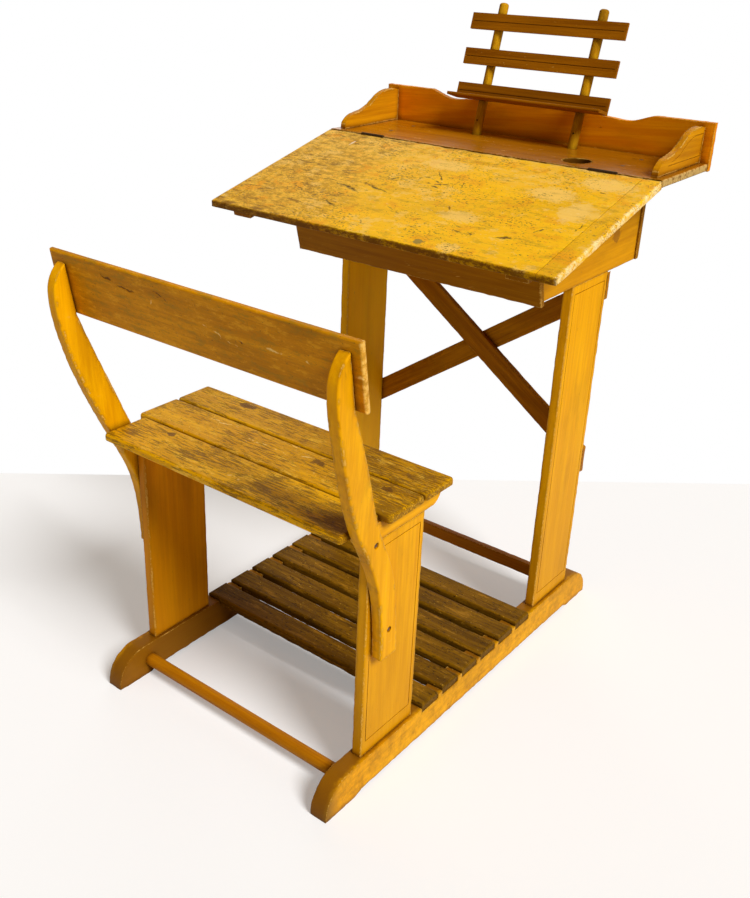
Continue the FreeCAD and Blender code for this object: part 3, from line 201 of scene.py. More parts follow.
class Finish(NodeWriter):
    """A node writer with the brushes that the finishes below share."""

    def __init__(self, name):
        super().__init__(name)
        self.border = None
        self.astray = None

    def paint(self, colour, mask, amount, coat):
        """The colour under a coat of another, so thick at most, where the mask lets it through."""
        return self.mix(self.math("MULTIPLY", mask, amount), colour, coat)

    def strongest(self, masks):
        """The strongest of several masks at each place."""
        first, *others = masks
        for other in others:
            first = self.math("MAXIMUM", first, other)
        return first

    def ragged(self):
        """One fine noise, made once, that frays the borders of all local marks."""
        if self.border is None:
            self.border = self.noise((190, 190, 190), detail=6, rough=0.75)
        return self.border

    def wandering(self):
        """The place on the desk, led astray by a few millimetres, so that no mark runs straight."""
        if self.astray is None:
            sway = self.noise((55, 55, 55), detail=3, rough=0.5).outputs["Color"]
            sway = self.vector("SUBTRACT", sway, (0.5, 0.5, 0.5))
            sway = self.vector("MULTIPLY", sway, (FARTHEST_ASTRAY,) * 3)
            self.astray = self.vector("ADD", self.place, sway)
        return self.astray

    def spot(self, centre, radii, fray):
        """1 at a place on the desk, 0 outside an ellipsoid round it, ragged at its border."""
        offset = self.vector("DIVIDE", self.vector("SUBTRACT", self.wandering(), centre), radii)
        far = self.math("MULTIPLY_ADD", self.ragged(), fray, self.vector("LENGTH", offset))
        return self.between(far, 0.75 + fray / 2, 1.0 + fray / 2, 1.0, 0.0)

    def stroke(self, start, end, width, fray=0.9):
        """1 on a line between two places on the desk that tapers towards its ends, 0 beside it."""
        run = Vector(end) - Vector(start)
        width = width * 2  # the taper and the frayed border take about half of it away
        from_start = self.vector("SUBTRACT", self.wandering(), start)
        along = self.vector("DOT_PRODUCT", from_start, run / run.length_squared)
        along = self.add("Clamp", {"Value": along})
        foot = self.add("VectorMath", {0: run, 3: along}, operation="SCALE").outputs["Vector"]
        far = self.vector("LENGTH", self.vector("SUBTRACT", from_start, foot))
        from_middle = self.math("ABSOLUTE", self.math("SUBTRACT", along, 0.5))
        far = self.math("MULTIPLY_ADD", from_middle, width * 0.5, far)
        far = self.math("MULTIPLY_ADD", self.ragged(), fray * width, far)
        return self.between(far, width * (0.15 + fray / 2), width * (0.5 + fray / 2), 1.0, 0.0)

    def past(self, value, sway, low, high, patches):
        """The part of the patches that lies past a ragged line, where value rises from low to high."""
        ragged = self.math("MULTIPLY_ADD", self.ragged(), sway, value)
        return self.math("MULTIPLY", self.between(ragged, low, high), patches)

    def nearness(self):
        """1 on an arris of a worn board, falling to 0 a centimetre away, and 0 on every other solid."""
        return self.add("Attribute", attribute_name="nearness").outputs["Fac"]

    def crevice(self, distance, low, high):
        """1 in grooves and inner corners narrower than the distance, 0 in the open."""
        shade = self.add("AmbientOcclusion", {"Distance": distance}, samples=4)
        return self.between(shade.outputs["AO"], low, high, 1.0, 0.0)


# %% [markdown]
# ## Old varnished wood
#
# The whole desk is one kind of honey-coloured wood under an amber spirit varnish, but no two boards
# wore alike. One recipe makes them all. Growth rings are the contour lines of a slow noise that is
# pulled out along the board, which gives the long arches of a board sawn along the trunk. Finer
# noises make streaks and pores. Over them lie the marks of use, in the order in which they came:
# a dark film in patches, knocks and pale scratches, dirt in every corner darkened further as painted
# shade, and arrises where the varnish has gone.

# %% Grain
RING_COUNT = 13.0  # rings over the whole range of the slow noise


def along_grain(axis, long_scale, cross_scale):
    """A stretch that is slow along the grain and quick across it."""
    scale = [cross_scale] * 3
    scale["xyz".index(axis)] = long_scale
    return tuple(scale)


def wood_tone(finish, axis, turn, shift, rings):
    """Growth rings, streaks and pores, from 0 for pale early wood to 1 for dark late wood."""
    field = finish.noise(along_grain(axis, 0.7, 7), turn, shift, detail=2, rough=0.45, distort=0.25)
    ring = finish.math("PINGPONG", finish.math("MULTIPLY", field, RING_COUNT), 0.5)
    streaks = finish.noise(along_grain(axis, 6, 210), turn, shift, detail=6, rough=0.7)
    pores = finish.noise(along_grain(axis, 45, 1500), turn, shift, detail=2, rough=0.5)
    tone = finish.math("MULTIPLY_ADD", ring, rings, finish.math("MULTIPLY", streaks, 1.05))
    return finish.between(finish.math("MULTIPLY_ADD", pores, 0.22, tone), 0.38, 1.0)


# %% Knocks, scratches and worn edges
def use_masks(finish, axis, turn, shift, seed, cloud):
    """Where a board was knocked, in clusters, and where thin scratches cross its grain."""
    ticks = finish.noise(along_grain(axis, 70, 330), turn, shift, detail=3, rough=0.6)
    clusters = finish.between(finish.noise((13, 13, 13), turn, shift, detail=3), 0.45, 0.66)
    knocked = finish.math("MULTIPLY", finish.between(ticks, 0.66, 0.74), clusters)
    askew = (turn[0] + 5, turn[1] + 14, 24 + 31 * seed)
    lines = finish.noise((11, 420, 420), askew, shift, detail=2, rough=0.5)
    scratched = finish.math("MULTIPLY", finish.between(lines, 0.68, 0.74),
                            finish.between(cloud, 0.38, 0.5, 1.0, 0.2))
    return knocked, scratched


def edge_masks(finish, axis, turn, shift, edge_wear):
    """A fringe of grime beside the arrises, and the arrises themselves, where the varnish is gone."""
    near = finish.nearness()
    patchy = finish.noise(along_grain(axis, 25, 60), turn, shift, detail=5, rough=0.7)
    fringe = finish.between(finish.math("MULTIPLY_ADD", patchy, 0.9, near), 0.95, 1.45)
    broken = finish.noise(along_grain(axis, 240, 420), turn, shift, detail=6, rough=0.8)
    rub = finish.math("MULTIPLY_ADD", patchy, 0.5, finish.math("ADD", broken, near))
    gone = finish.between(rub, 1.82 - 0.26 * edge_wear, 1.92 - 0.26 * edge_wear)
    return fringe, gone


# %% Varnished wood
AMBER = (1.0, 0.62, 0.06, 1.0)  # the tint of a highlight on old spirit varnish


def varnished_wood(name, axis, turn=(0, 0, 0), seed=0, pale=(0.92, 0.45, 0.001),
                   deep=(0.74, 0.31, 0.001), film=(0.22, 0.085, 0.003), bare=(0.80, 0.47, 0.10),
                   rings=0.35, film_amount=0.45, scratches=0.5, edge_wear=0.6, gloss=0.45,
                   shine=0.13, marks=None):
    """A varnished board: axis is its grain, film its grime, and marks adds what one piece alone has."""
    finish = Finish(name)
    shift = (seed * 0.37, seed * 0.53, seed * 0.71)
    tone = wood_tone(finish, axis, turn, shift, rings)
    colour = finish.mix(tone, pale, deep)

    cloud = finish.noise(along_grain(axis, 5, 16), turn, shift, detail=5, rough=0.6)
    cloudy = finish.between(cloud, 0.46, 0.74)
    colour = finish.paint(colour, cloudy, film_amount, finish.mix(0.3, film, colour))
    knocked, scratched = use_masks(finish, axis, turn, shift, seed, cloud)
    colour = finish.paint(colour, knocked, 0.6, film)
    scratched = finish.math("MULTIPLY", scratched, scratches)
    colour = finish.mix(scratched, colour, bare)

    height = finish.math("MULTIPLY_ADD", tone, -0.2, finish.math("MULTIPLY", knocked, -1.0))
    rubbed = finish.math("MULTIPLY", scratched, 0.5)
    if marks:
        colour, rubbed, height = marks(finish, colour, rubbed, height)

    # dirt in grooves and joints, with painted shade darkening every inner corner and gap between parts
    crevice_dirt_and_shade = finish.crevice(0.012, 0.45, 0.9)
    colour = finish.paint(colour, crevice_dirt_and_shade, 0.8, finish.mix(0.7, film, colour, "MULTIPLY"))
    fringe, gone = edge_masks(finish, axis, turn, shift, edge_wear)
    colour = finish.paint(colour, fringe, 0.6 * edge_wear + 0.1, finish.mix(0.4, film, colour))
    colour = finish.paint(colour, gone, 0.65, bare)

    worn = finish.math("MAXIMUM", gone, rubbed)
    finish.feed(finish.shader.inputs["Base Color"], colour)
    finish.feed(finish.shader.inputs["Roughness"], finish.between(worn, 0.0, 1.0, gloss, 0.7))
    finish.shader.inputs["Specular IOR Level"].default_value = shine
    finish.shader.inputs["Specular Tint"].default_value = AMBER
    finish.relief(finish.math("MULTIPLY_ADD", worn, -0.5, height), 0.0005, 0.8)
    return finish.material


# %% [markdown]
# ## Marks on the lid
#
# The lid has the richest surface: greyed and scuffed on the left where a writing arm lay, still
# golden on the right, with pale patches, dried ink, a green stain and knife cuts. The ground of it
# comes from noises that are steered to one side. A mark that the eye remembers is put where it
# belongs, as a spot or as a stroke between two places. Such places are given on the lid itself, as
# a draughtsman would: so far to the right, and so far down the slope from the hinge.

# %% Places on the lid
HINGE_AT = Vector(next(joint["pos_m"] for joint in frame["joints"] if joint["name"] == "lid_hinge"))
LID_SLOPE = math.radians(14.5)
DOWN_LID = Vector((0, -math.cos(LID_SLOPE), -math.sin(LID_SLOPE)))
LID_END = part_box("lid_clamp_right")[1][0]
LID_FRONT = max((corner.co - HINGE_AT).dot(DOWN_LID)
                for corner in frame["nodes"]["lid_panel"].data.vertices)
print("the lid is %.1f mm deep and %.1f mm wide" % (LID_FRONT * 1000, LID_END * 2000))


def on_lid(across, down):
    """A place on the lid, so far to the right and so far down its slope from the hinge."""
    return Vector((across, 0, 0)) + HINGE_AT + DOWN_LID * down


LID_CUTS = [  # start, end, width: knife cuts and pen strokes, filled with ink
    ((0.109, 0.240), (0.141, 0.244), 0.0035), ((0.172, 0.240), (0.206, 0.228), 0.0045),
    ((-0.034, 0.112), (0.003, 0.087), 0.0022), ((-0.016, 0.126), (0.027, 0.119), 0.0024),
    ((-0.020, 0.083), (0.017, 0.129), 0.0020), ((-0.002, 0.130), (0.013, 0.136), 0.0030),
    ((0.036, 0.101), (0.054, 0.134), 0.0024), ((-0.086, 0.140), (-0.064, 0.125), 0.0024),
    ((-0.085, 0.162), (-0.069, 0.151), 0.0020), ((0.041, 0.233), (0.051, 0.225), 0.0032),
    ((-0.037, 0.267), (-0.023, 0.274), 0.0030), ((0.233, 0.060), (0.250, 0.065), 0.0030),
    ((0.189, 0.144), (0.202, 0.145), 0.0026), ((-0.128, 0.208), (-0.105, 0.205), 0.0026),
    ((-0.158, 0.237), (-0.152, 0.213), 0.0022), ((-0.210, 0.209), (-0.184, 0.217), 0.0022),
    ((-0.027, 0.208), (0.005, 0.229), 0.0018), ((-0.006, 0.099), (0.024, 0.098), 0.0024),
    ((-0.030, 0.104), (0.010, 0.120), 0.0022), ((-0.108, 0.160), (-0.050, 0.176), 0.0050),
    ((-0.150, 0.175), (-0.095, 0.190), 0.0050), ((0.128, 0.236), (0.150, 0.248), 0.0028),
    ((0.062, 0.178), (0.070, 0.190), 0.0024), ((-0.125, 0.235), (-0.095, 0.245), 0.0040),
    ((0.262, 0.150), (0.268, 0.190), 0.0016), ((0.215, 0.205), (0.232, 0.185), 0.0018),
]
LID_PALE = [  # place, half width, half depth: varnish rubbed to pale wood
    ((0.095, 0.203), 0.036, 0.018), ((0.182, 0.093), 0.040, 0.026), ((0.239, 0.134), 0.026, 0.040),
    ((0.131, 0.287), 0.020, 0.012), ((0.240, 0.040), 0.050, 0.022), ((-0.02, 0.060), 0.050, 0.020),
]
STAIN_AT, GASH_START, GASH_END = (0.084, 0.289), (-0.224, 0.048), (-0.222, 0.027)
INK, STAIN = (0.050, 0.028, 0.012), (0.16, 0.17, 0.055)
print("%d cuts and %d rubbed patches are placed on it" % (len(LID_CUTS), len(LID_PALE)))


# %% Ground of the lid
def lid_ground(finish, colour, mottle):
    """Varnish greyed on the left, faded at the back and deepened in blotches."""
    drift = finish.noise((9, 9, 9), shift=(3, 1, 2), detail=6, rough=0.65)
    leftness = finish.math("MULTIPLY_ADD", drift, 0.42, finish.reach("X"))
    greyed = finish.between(leftness, -0.02, 0.24, 1.0, 0.0)
    tan = finish.mix(finish.between(mottle, 0.40, 0.60), (0.86, 0.50, 0.05), (0.40, 0.19, 0.015))
    colour = finish.paint(colour, greyed, 0.8, tan)
    back = finish.math("MULTIPLY_ADD", drift, 0.35, finish.reach("Y"))
    faded = finish.math("MULTIPLY", finish.between(back, 0.27, 0.42), finish.between(mottle, 0.6, 0.4))
    colour = finish.paint(colour, faded, 0.6, (0.90, 0.57, 0.12))
    blotch = finish.noise((20, 26, 26), detail=9, rough=0.72, shift=(4, 4, 4))
    colour = finish.paint(colour, finish.between(blotch, 0.47, 0.38), 0.65, (0.82, 0.33, 0.003))
    return colour, greyed, blotch


def lid_bare(finish, blotch):
    """Where the varnish is rubbed through: between the blotches, and in the pale patches."""
    bare = finish.math("MULTIPLY", finish.between(blotch, 0.55, 0.60), 0.65)
    for place, half_width, half_depth in LID_PALE:
        patch = finish.spot(on_lid(*place), (half_width, half_depth, 0.02), fray=2.4)
        bare = finish.math("MAXIMUM", bare, finish.math("MULTIPLY", patch, 0.9))
    return bare


def lid_edges(finish, colour, mottle, crumbs):
    """A front edge dark with the grime of hands, and a right end rubbed pale."""
    down = finish.vector("DOT_PRODUCT", finish.vector("SUBTRACT", finish.place, HINGE_AT), DOWN_LID)
    grimy = finish.past(down, 0.008, LID_FRONT + 0.0005, LID_FRONT + 0.0035,
                        finish.between(mottle, 0.48, 0.58, 1.0, 0.5))
    colour = finish.paint(colour, grimy, 0.95, (0.16, 0.060, 0.004))
    rubbed_end = finish.past(finish.reach("X"), 0.016, LID_END + 0.003, LID_END + 0.007,
                             finish.between(mottle, 0.46, 0.56, 1.0, 0.0))
    rubbed_end = finish.math("MULTIPLY", rubbed_end, finish.between(crumbs, 0.0, 0.6, 1.0, 0.2))
    return finish.paint(colour, rubbed_end, 0.85, (0.93, 0.74, 0.36))


# %% All marks of the lid
def lid_marks(finish, colour, rubbed, height):
    """The ground first, then rubbing, smudges and the stain, crumbs and flakes, cuts and edges."""
    mottle = finish.noise((60, 100, 100), detail=9, rough=0.82, shift=(2, 5, 1))
    colour, greyed, blotch = lid_ground(finish, colour, mottle)
    bare = lid_bare(finish, blotch)
    colour = finish.paint(colour, bare, 0.62, (0.93, 0.64, 0.20))
    smudge = finish.noise((24, 75, 75), detail=9, rough=0.78, shift=(9, 2, 6))
    smudge = finish.math("MULTIPLY", finish.between(smudge, 0.535, 0.595),
                         finish.math("MAXIMUM", greyed, 0.35))
    colour = finish.paint(colour, smudge, 0.85, (0.25, 0.11, 0.010))
    stain = finish.spot(on_lid(*STAIN_AT), (0.010, 0.007, 0.02), fray=1.2)
    colour = finish.paint(colour, stain, 0.75, STAIN)
    crowd = finish.noise((15, 15, 15), detail=3, shift=(6, 2, 2))
    crumbs = finish.noise((210, 420, 420), detail=4, rough=0.65, shift=(1, 7, 3))
    crumbs = finish.between(finish.math("MULTIPLY_ADD", crowd, 0.35, crumbs), 0.780, 0.815)
    colour = finish.paint(colour, crumbs, 0.85, (0.17, 0.08, 0.015))
    flakes = finish.noise((160, 260, 260), detail=4, rough=0.7, shift=(8, 3, 8))
    flakes = finish.between(finish.math("MULTIPLY_ADD", crowd, -0.3, flakes), 0.50, 0.56)
    colour = finish.paint(colour, flakes, 0.5, (0.94, 0.68, 0.28))
    cut = finish.strongest(finish.stroke(on_lid(*start), on_lid(*end), width)
                           for start, end, width in LID_CUTS)
    colour = finish.paint(colour, cut, 0.85, INK)
    gash = finish.stroke(on_lid(*GASH_START), on_lid(*GASH_END), 0.003)
    colour = finish.mix(gash, colour, (0.95, 0.85, 0.65))
    colour = lid_edges(finish, colour, mottle, crumbs)
    return colour, finish.math("MAXIMUM", rubbed, bare), finish.math("MULTIPLY_ADD", cut, -1.5, height)


# %% [markdown]
# ## Marks on the seat and the back rest
#
# A seat wears where people slide in and out: pale patches in the middle, black streaks where the
# grain opened and dirt went in, and pits that crowd towards its right end. Its knots and its long
# scratches are placed one by one. The back rest is only leant against, so it keeps more of its
# varnish, but it has dried out and cracked. It leans, so its places are counted up its own face.

# %% Marks on the seat
SEAT_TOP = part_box("seat_board_front")[1][2]
SEAT_KNOTS = (((-0.131, -0.169), 0.008), ((0.072, -0.242), 0.007), ((0.189, -0.240), 0.005),
              ((-0.144, -0.314), 0.005))
SEAT_SCRATCHES = (((-0.014, -0.224), (0.061, -0.237)), ((0.013, -0.234), (0.019, -0.208)),
                  ((0.026, -0.255), (0.077, -0.222)), ((-0.071, -0.248), (0.029, -0.253)),
                  ((0.109, -0.180), (0.149, -0.183)), ((-0.006, -0.346), (0.028, -0.351)),
                  ((-0.157, -0.239), (-0.086, -0.233)), ((-0.043, -0.264), (-0.013, -0.258)))
SEAT_SHADE_TOWARDS_DESK = (-0.28, -0.13)  # towards the desk the boards are painted darker between these places, as shade
SEAT_RIGHT = (0.02, 0.20)  # and here the pits and streaks grow closer towards the right
print("%d knots and %d scratches on the seat" % (len(SEAT_KNOTS), len(SEAT_SCRATCHES)))


def seat_marks(finish, colour, rubbed, height):
    """Rubbed patches, painted shade towards the desk, streaks and pits, knots and scratches."""
    mottle = finish.noise((26, 70, 70), detail=8, rough=0.75, shift=(7, 3, 5))
    worn = finish.between(mottle, 0.53, 0.62)
    colour = finish.paint(colour, worn, 0.75, (0.93, 0.56, 0.07))
    # painted shade: the boards darken towards the desk
    shade_towards_desk = finish.math("MULTIPLY_ADD", mottle, 0.12, finish.reach("Y"))
    shade_towards_desk = finish.between(shade_towards_desk, *SEAT_SHADE_TOWARDS_DESK, 0.0, 0.30)
    colour = finish.mix(shade_towards_desk, colour, (0.22, 0.085, 0.003))
    right_end = finish.between(finish.reach("X"), *SEAT_RIGHT)
    where = finish.noise((11, 16, 16), detail=3, shift=(5, 5, 2))
    where = finish.math("MULTIPLY_ADD", right_end, 0.13, where)
    streaks = finish.noise(along_grain("x", 40, 330), detail=7, rough=0.8, shift=(1, 2, 9))
    streaks = finish.between(finish.math("MULTIPLY_ADD", where, 0.4, streaks), 0.715, 0.765)
    colour = finish.paint(colour, streaks, 0.7, (0.13, 0.055, 0.007))
    pits = finish.noise((190, 420, 420), detail=5, rough=0.75, shift=(3, 8, 1))
    pits = finish.between(finish.math("MULTIPLY_ADD", right_end, 0.02, pits), 0.605, 0.640)
    colour = finish.paint(colour, pits, 0.75, (0.10, 0.045, 0.008))
    knots = finish.strongest(finish.spot((x, y, SEAT_TOP), (radius * 2, radius, 0.01), fray=1.6)
                             for (x, y), radius in SEAT_KNOTS)
    colour = finish.paint(colour, knots, 0.85, (0.15, 0.06, 0.008))
    pale = finish.strongest(finish.stroke((*start, SEAT_TOP), (*end, SEAT_TOP), 0.0014, fray=0.4)
                            for start, end in SEAT_SCRATCHES)
    colour = finish.paint(colour, pale, 0.8, (0.90, 0.66, 0.22))
    dents = finish.math("MULTIPLY_ADD", pits, -0.7, finish.math("MULTIPLY_ADD", streaks, -0.5, height))
    return colour, finish.math("MAXIMUM", rubbed, worn), dents


# %% Marks on the back rest
BACK_LOW, BACK_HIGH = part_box("backrest_board")
BACK_LEAN = math.radians(9.5)
BACK_THICKNESS = 0.009
BACK_CRACKS = (((-0.168, 0.077), (-0.134, 0.066)), ((-0.134, 0.066), (-0.100, 0.061)),
               ((-0.060, 0.071), (-0.026, 0.063)), ((0.078, 0.041), (0.086, 0.040)))
BACK_SCRATCHES = (  # start, end, width
    ((-0.006, 0.055), (0.078, 0.031), 0.0012), ((0.122, 0.043), (0.146, 0.042), 0.003),
    ((0.174, 0.046), (0.187, 0.042), 0.002), ((-0.071, 0.060), (-0.073, 0.049), 0.002),
    ((0.249, 0.044), (0.266, 0.046), 0.003))
print("the back rest is %.1f mm wide" % ((BACK_HIGH[0] - BACK_LOW[0]) * 1000))


def on_back(across, up):
    """A place on the outer face of the back rest, so far up it from its lower edge."""
    away = Vector((0, -math.cos(BACK_LEAN), 0)) * BACK_THICKNESS
    rise = Vector((0, -math.sin(BACK_LEAN), math.cos(BACK_LEAN))) * up
    return Vector((across, BACK_HIGH[1], BACK_LOW[2])) + away + rise


def back_marks(finish, colour, rubbed, height):
    """Mottled varnish and specks, a rubbed right end, cracks and scratches."""
    mottle = finish.noise((30, 90, 90), detail=8, rough=0.78, shift=(4, 9, 2))
    colour = finish.mix(finish.between(mottle, 0.50, 0.62, 0.0, 0.5), colour, (0.30, 0.18, 0.015))
    colour = finish.mix(finish.between(mottle, 0.47, 0.38, 0.0, 0.45), colour, (0.88, 0.44, 0.02))
    specks = finish.noise((200, 380, 380), detail=5, rough=0.75, shift=(6, 1, 1))
    colour = finish.paint(colour, finish.between(specks, 0.61, 0.66), 0.7, (0.13, 0.055, 0.008))
    rubbed_end = finish.past(finish.reach("X"), 0.010, BACK_HIGH[0] + 0.001, BACK_HIGH[0] + 0.004,
                             finish.between(mottle, 0.46, 0.56, 1.0, 0.2))
    colour = finish.paint(colour, rubbed_end, 0.6, (0.90, 0.60, 0.16))
    crack = finish.strongest(finish.stroke(on_back(*start), on_back(*end), 0.0026)
                             for start, end in BACK_CRACKS)
    colour = finish.paint(colour, crack, 0.85, (0.12, 0.035, 0.004))
    pale = finish.strongest(finish.stroke(on_back(*start), on_back(*end), width, fray=0.4)
                            for start, end, width in BACK_SCRATCHES)
    colour = finish.paint(colour, pale, 0.8, (0.95, 0.68, 0.22))
    return colour, rubbed, finish.math("MULTIPLY_ADD", crack, -1.5, height)


# %% [markdown]
# ## Marks on the shelf, the box and the frame
#
# The shelf is dark and glossy, with dark screw holes; below its upper face and in the inkwell's hole it
# is painted nearly black as shade, and so is the box inside, under the shelf. The frame meets mops and
# boots, so its runners and uprights darken towards the floor, the runners' inner faces are painted dark
# as shade, and the slats under the feet have hardly any varnish left. All of these follow from where a
# place lies, so they are steps and slopes along the desk's own axes, made uneven by a noise.

# %% Marks on the shelf
SHELF_END, SHELF_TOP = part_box("shelf")[1][0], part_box("shelf")[1][2]
SHELF_HOLES = ((-0.212, 0.278), (0.2055, 0.283), (0.2056, 0.349), (-0.196, 0.352))
INK_HOLE_AT, INK_HOLE_RADIUS = Vector((0.1465, 0.2725, 0)), 0.022
SHELF_DARKENS = (-0.15, 0.22)  # from left to right
DEEP_SHADE = (0.02, 0.01, 0.004)
print("the shelf's upper face is %.1f mm above the floor" % (SHELF_TOP * 1000))


def shelf_marks(finish, colour, rubbed, height):
    """Painted shade below its upper face and in the ink hole; darker towards the right, with scuffs along it."""
    holes = finish.strongest(finish.spot((x, y, SHELF_TOP), (0.0042, 0.0042, 0.01), fray=0.3)
                             for x, y in SHELF_HOLES)
    colour = finish.paint(colour, holes, 0.85, (0.03, 0.012, 0.003))
    # painted shade: below its upper face the shelf's edges and underside are darkened
    upper = finish.math("GREATER_THAN", finish.reach("Z"), SHELF_TOP - 0.0012)
    colour = finish.mix(upper, finish.mix(0.75, colour, DEEP_SHADE), colour)
    # painted shade: the wall of the ink hole is painted nearly black
    from_hole = finish.vector("MULTIPLY", finish.vector("SUBTRACT", finish.place, INK_HOLE_AT), (1, 1, 0))
    ink_hole_shade = finish.between(finish.vector("LENGTH", from_hole),
                          INK_HOLE_RADIUS + 0.0002, INK_HOLE_RADIUS + 0.0018, 0.92, 0.0)
    colour = finish.mix(ink_hole_shade, colour, DEEP_SHADE)
    darkened = finish.between(finish.reach("X"), *SHELF_DARKENS, 0.0, 0.5)
    colour = finish.mix(darkened, colour, (0.22, 0.075, 0.002))
    scuff_field = finish.noise(along_grain("x", 20, 130), detail=6, rough=0.75, shift=(5, 5, 1))
    scuff = finish.between(scuff_field, 0.63, 0.68)
    colour = finish.paint(colour, scuff, 0.5, (0.80, 0.46, 0.10))
    rubbed_end = finish.past(finish.reach("X"), 0.008, SHELF_END + 0.0015, SHELF_END + 0.0035,
                             finish.between(scuff_field, 0.50, 0.60, 1.0, 0.15))
    colour = finish.paint(colour, rubbed_end, 0.6, (0.88, 0.60, 0.20))
    return colour, finish.math("MAXIMUM", rubbed, scuff), height


# %% Marks on the box
BOX_HALF = 0.2125
BOX_INSIDE = (("Y", 0.235, 0.3725), ("Z", 0.6305, 0.9))  # under the shelf: axis, from, to
SIDE_PATCH_AT = (0.219, 0.292, 0.680)
print("the box is dark inside up to %.1f mm on either side" % (BOX_HALF * 1000))


def hollow_shade(finish, colour, rubbed, height):
    """The rear of the box, under the shelf, is painted nearly black inside, as shade."""
    # painted shade: everything inside the box under the shelf is darkened
    dark = finish.math("LESS_THAN", finish.math("ABSOLUTE", finish.reach("X")), BOX_HALF)
    for axis, low, high in BOX_INSIDE:
        dark = finish.math("MULTIPLY", dark, finish.math("GREATER_THAN", finish.reach(axis), low))
        dark = finish.math("MULTIPLY", dark, finish.math("LESS_THAN", finish.reach(axis), high))
    return finish.paint(colour, dark, 0.9, DEEP_SHADE), rubbed, height


def side_marks(finish, colour, rubbed, height):
    """One dark patch on the right side of the box, besides the painted shade inside it."""
    patch = finish.spot(SIDE_PATCH_AT, (0.020, 0.014, 0.012), fray=1.8)
    colour = finish.paint(colour, patch, 0.7, (0.30, 0.11, 0.01))
    return hollow_shade(finish, colour, rubbed, height)


# %% Marks on the runners, the uprights and the foot slats
# each mark starts or fades between two places along one of the desk's axes
TOE, SCUFFED_TO, RUNNER_INSIDE = (-0.425, -0.395), (-0.25, -0.13), (0.226, 0.240)
FLOOR_FILM, SLAT_END = (0.14, 0.62), (0.228, 0.258)
print("the film on the uprights ends %.0f mm above the floor" % (FLOOR_FILM[1] * 1000))


def runner_marks(finish, colour, rubbed, height):
    """Toes blackened by boots, brown scuffs behind them, and painted shade on the inner face."""
    drift = finish.noise((60, 60, 60), detail=6, rough=0.7, shift=(2, 2, 2))
    toe = finish.math("MULTIPLY_ADD", drift, -0.05, finish.reach("Y"))
    colour = finish.paint(colour, finish.between(toe, *TOE, 1.0, 0.0), 0.75, (0.10, 0.065, 0.014))
    scuffed = finish.math("MULTIPLY_ADD", drift, 0.35, finish.reach("Y"))
    scuffed = finish.between(scuffed, *SCUFFED_TO, 1.0, 0.0)
    colour = finish.paint(colour, scuffed, 0.35, (0.34, 0.15, 0.012))
    # painted shade: the inner side of each runner, between the two runners, is darkened
    inside = finish.math("MULTIPLY_ADD", drift, 0.02, finish.math("ABSOLUTE", finish.reach("X")))
    inside = finish.between(inside, *RUNNER_INSIDE, 1.0, 0.0)
    colour = finish.paint(colour, inside, 0.9, (0.21, 0.075, 0.004))
    return colour, rubbed, height


def upright_marks(finish, colour, rubbed, height):
    """Darker towards the floor, where mops and boots have left their film."""
    drift = finish.noise((25, 25, 9), detail=6, rough=0.65, shift=(6, 2, 2))
    film = finish.math("MULTIPLY_ADD", drift, 0.20, finish.reach("Z"))
    colour = finish.mix(finish.between(film, *FLOOR_FILM, 0.50, 0.0), colour, (0.50, 0.215, 0.002))
    nicks = finish.noise((300, 300, 120), detail=5, rough=0.75, shift=(2, 4, 7))
    colour = finish.paint(colour, finish.between(nicks, 0.655, 0.70), 0.6, (0.26, 0.105, 0.006))
    return colour, rubbed, height


def slat_marks(finish, colour, rubbed, height):
    """Worn through in streaks, pitted and flecked, and grimy towards both ends."""
    mottle = finish.noise(along_grain("x", 18, 110), detail=7, rough=0.75, shift=(8, 1, 4))
    colour = finish.paint(colour, finish.between(mottle, 0.54, 0.64), 0.6, (0.42, 0.20, 0.014))
    pits = finish.noise((110, 330, 330), detail=4, rough=0.7, shift=(2, 6, 1))
    pits = finish.between(pits, 0.575, 0.63)
    colour = finish.paint(colour, pits, 0.8, (0.035, 0.018, 0.004))
    flecks = finish.noise((120, 300, 300), detail=4, rough=0.7, shift=(7, 7, 3))
    colour = finish.paint(colour, finish.between(flecks, 0.64, 0.69), 0.8, (0.60, 0.33, 0.03))
    grime = finish.math("MULTIPLY_ADD", mottle, 0.05, finish.math("ABSOLUTE", finish.reach("X")))
    colour = finish.paint(colour, finish.between(grime, *SLAT_END), 0.3, (0.06, 0.033, 0.007))
    return colour, rubbed, finish.math("MULTIPLY_ADD", pits, -1.0, height)


# %% [markdown]
# ## A wood for every board
#
# One material for the whole desk would be simpler, but then every board would have the same tone,
# and the grain would run on from board to board. So each kind of board gets its own, with the grain
# along its length, a seed that moves the pattern, and two colours for its pale and its dark wood.
# Both colours carry the varnish too, which is why they are so yellow.

# %% Wood of the frame
BEARER_WOOD = varnished_wood("bearer_wood", "y", seed=2)
UPRIGHT_WOOD = varnished_wood("upright_wood", "z", seed=3, marks=upright_marks)
# a paler copy of the upright wood with less film: painted light on the far desk upright's front face
LIT_FAR_UPRIGHT_WOOD = varnished_wood("lit_far_upright_wood", "z", seed=23, pale=(1.0, 0.52, 0.002),
                                  deep=(0.94, 0.43, 0.001), film_amount=0.2)
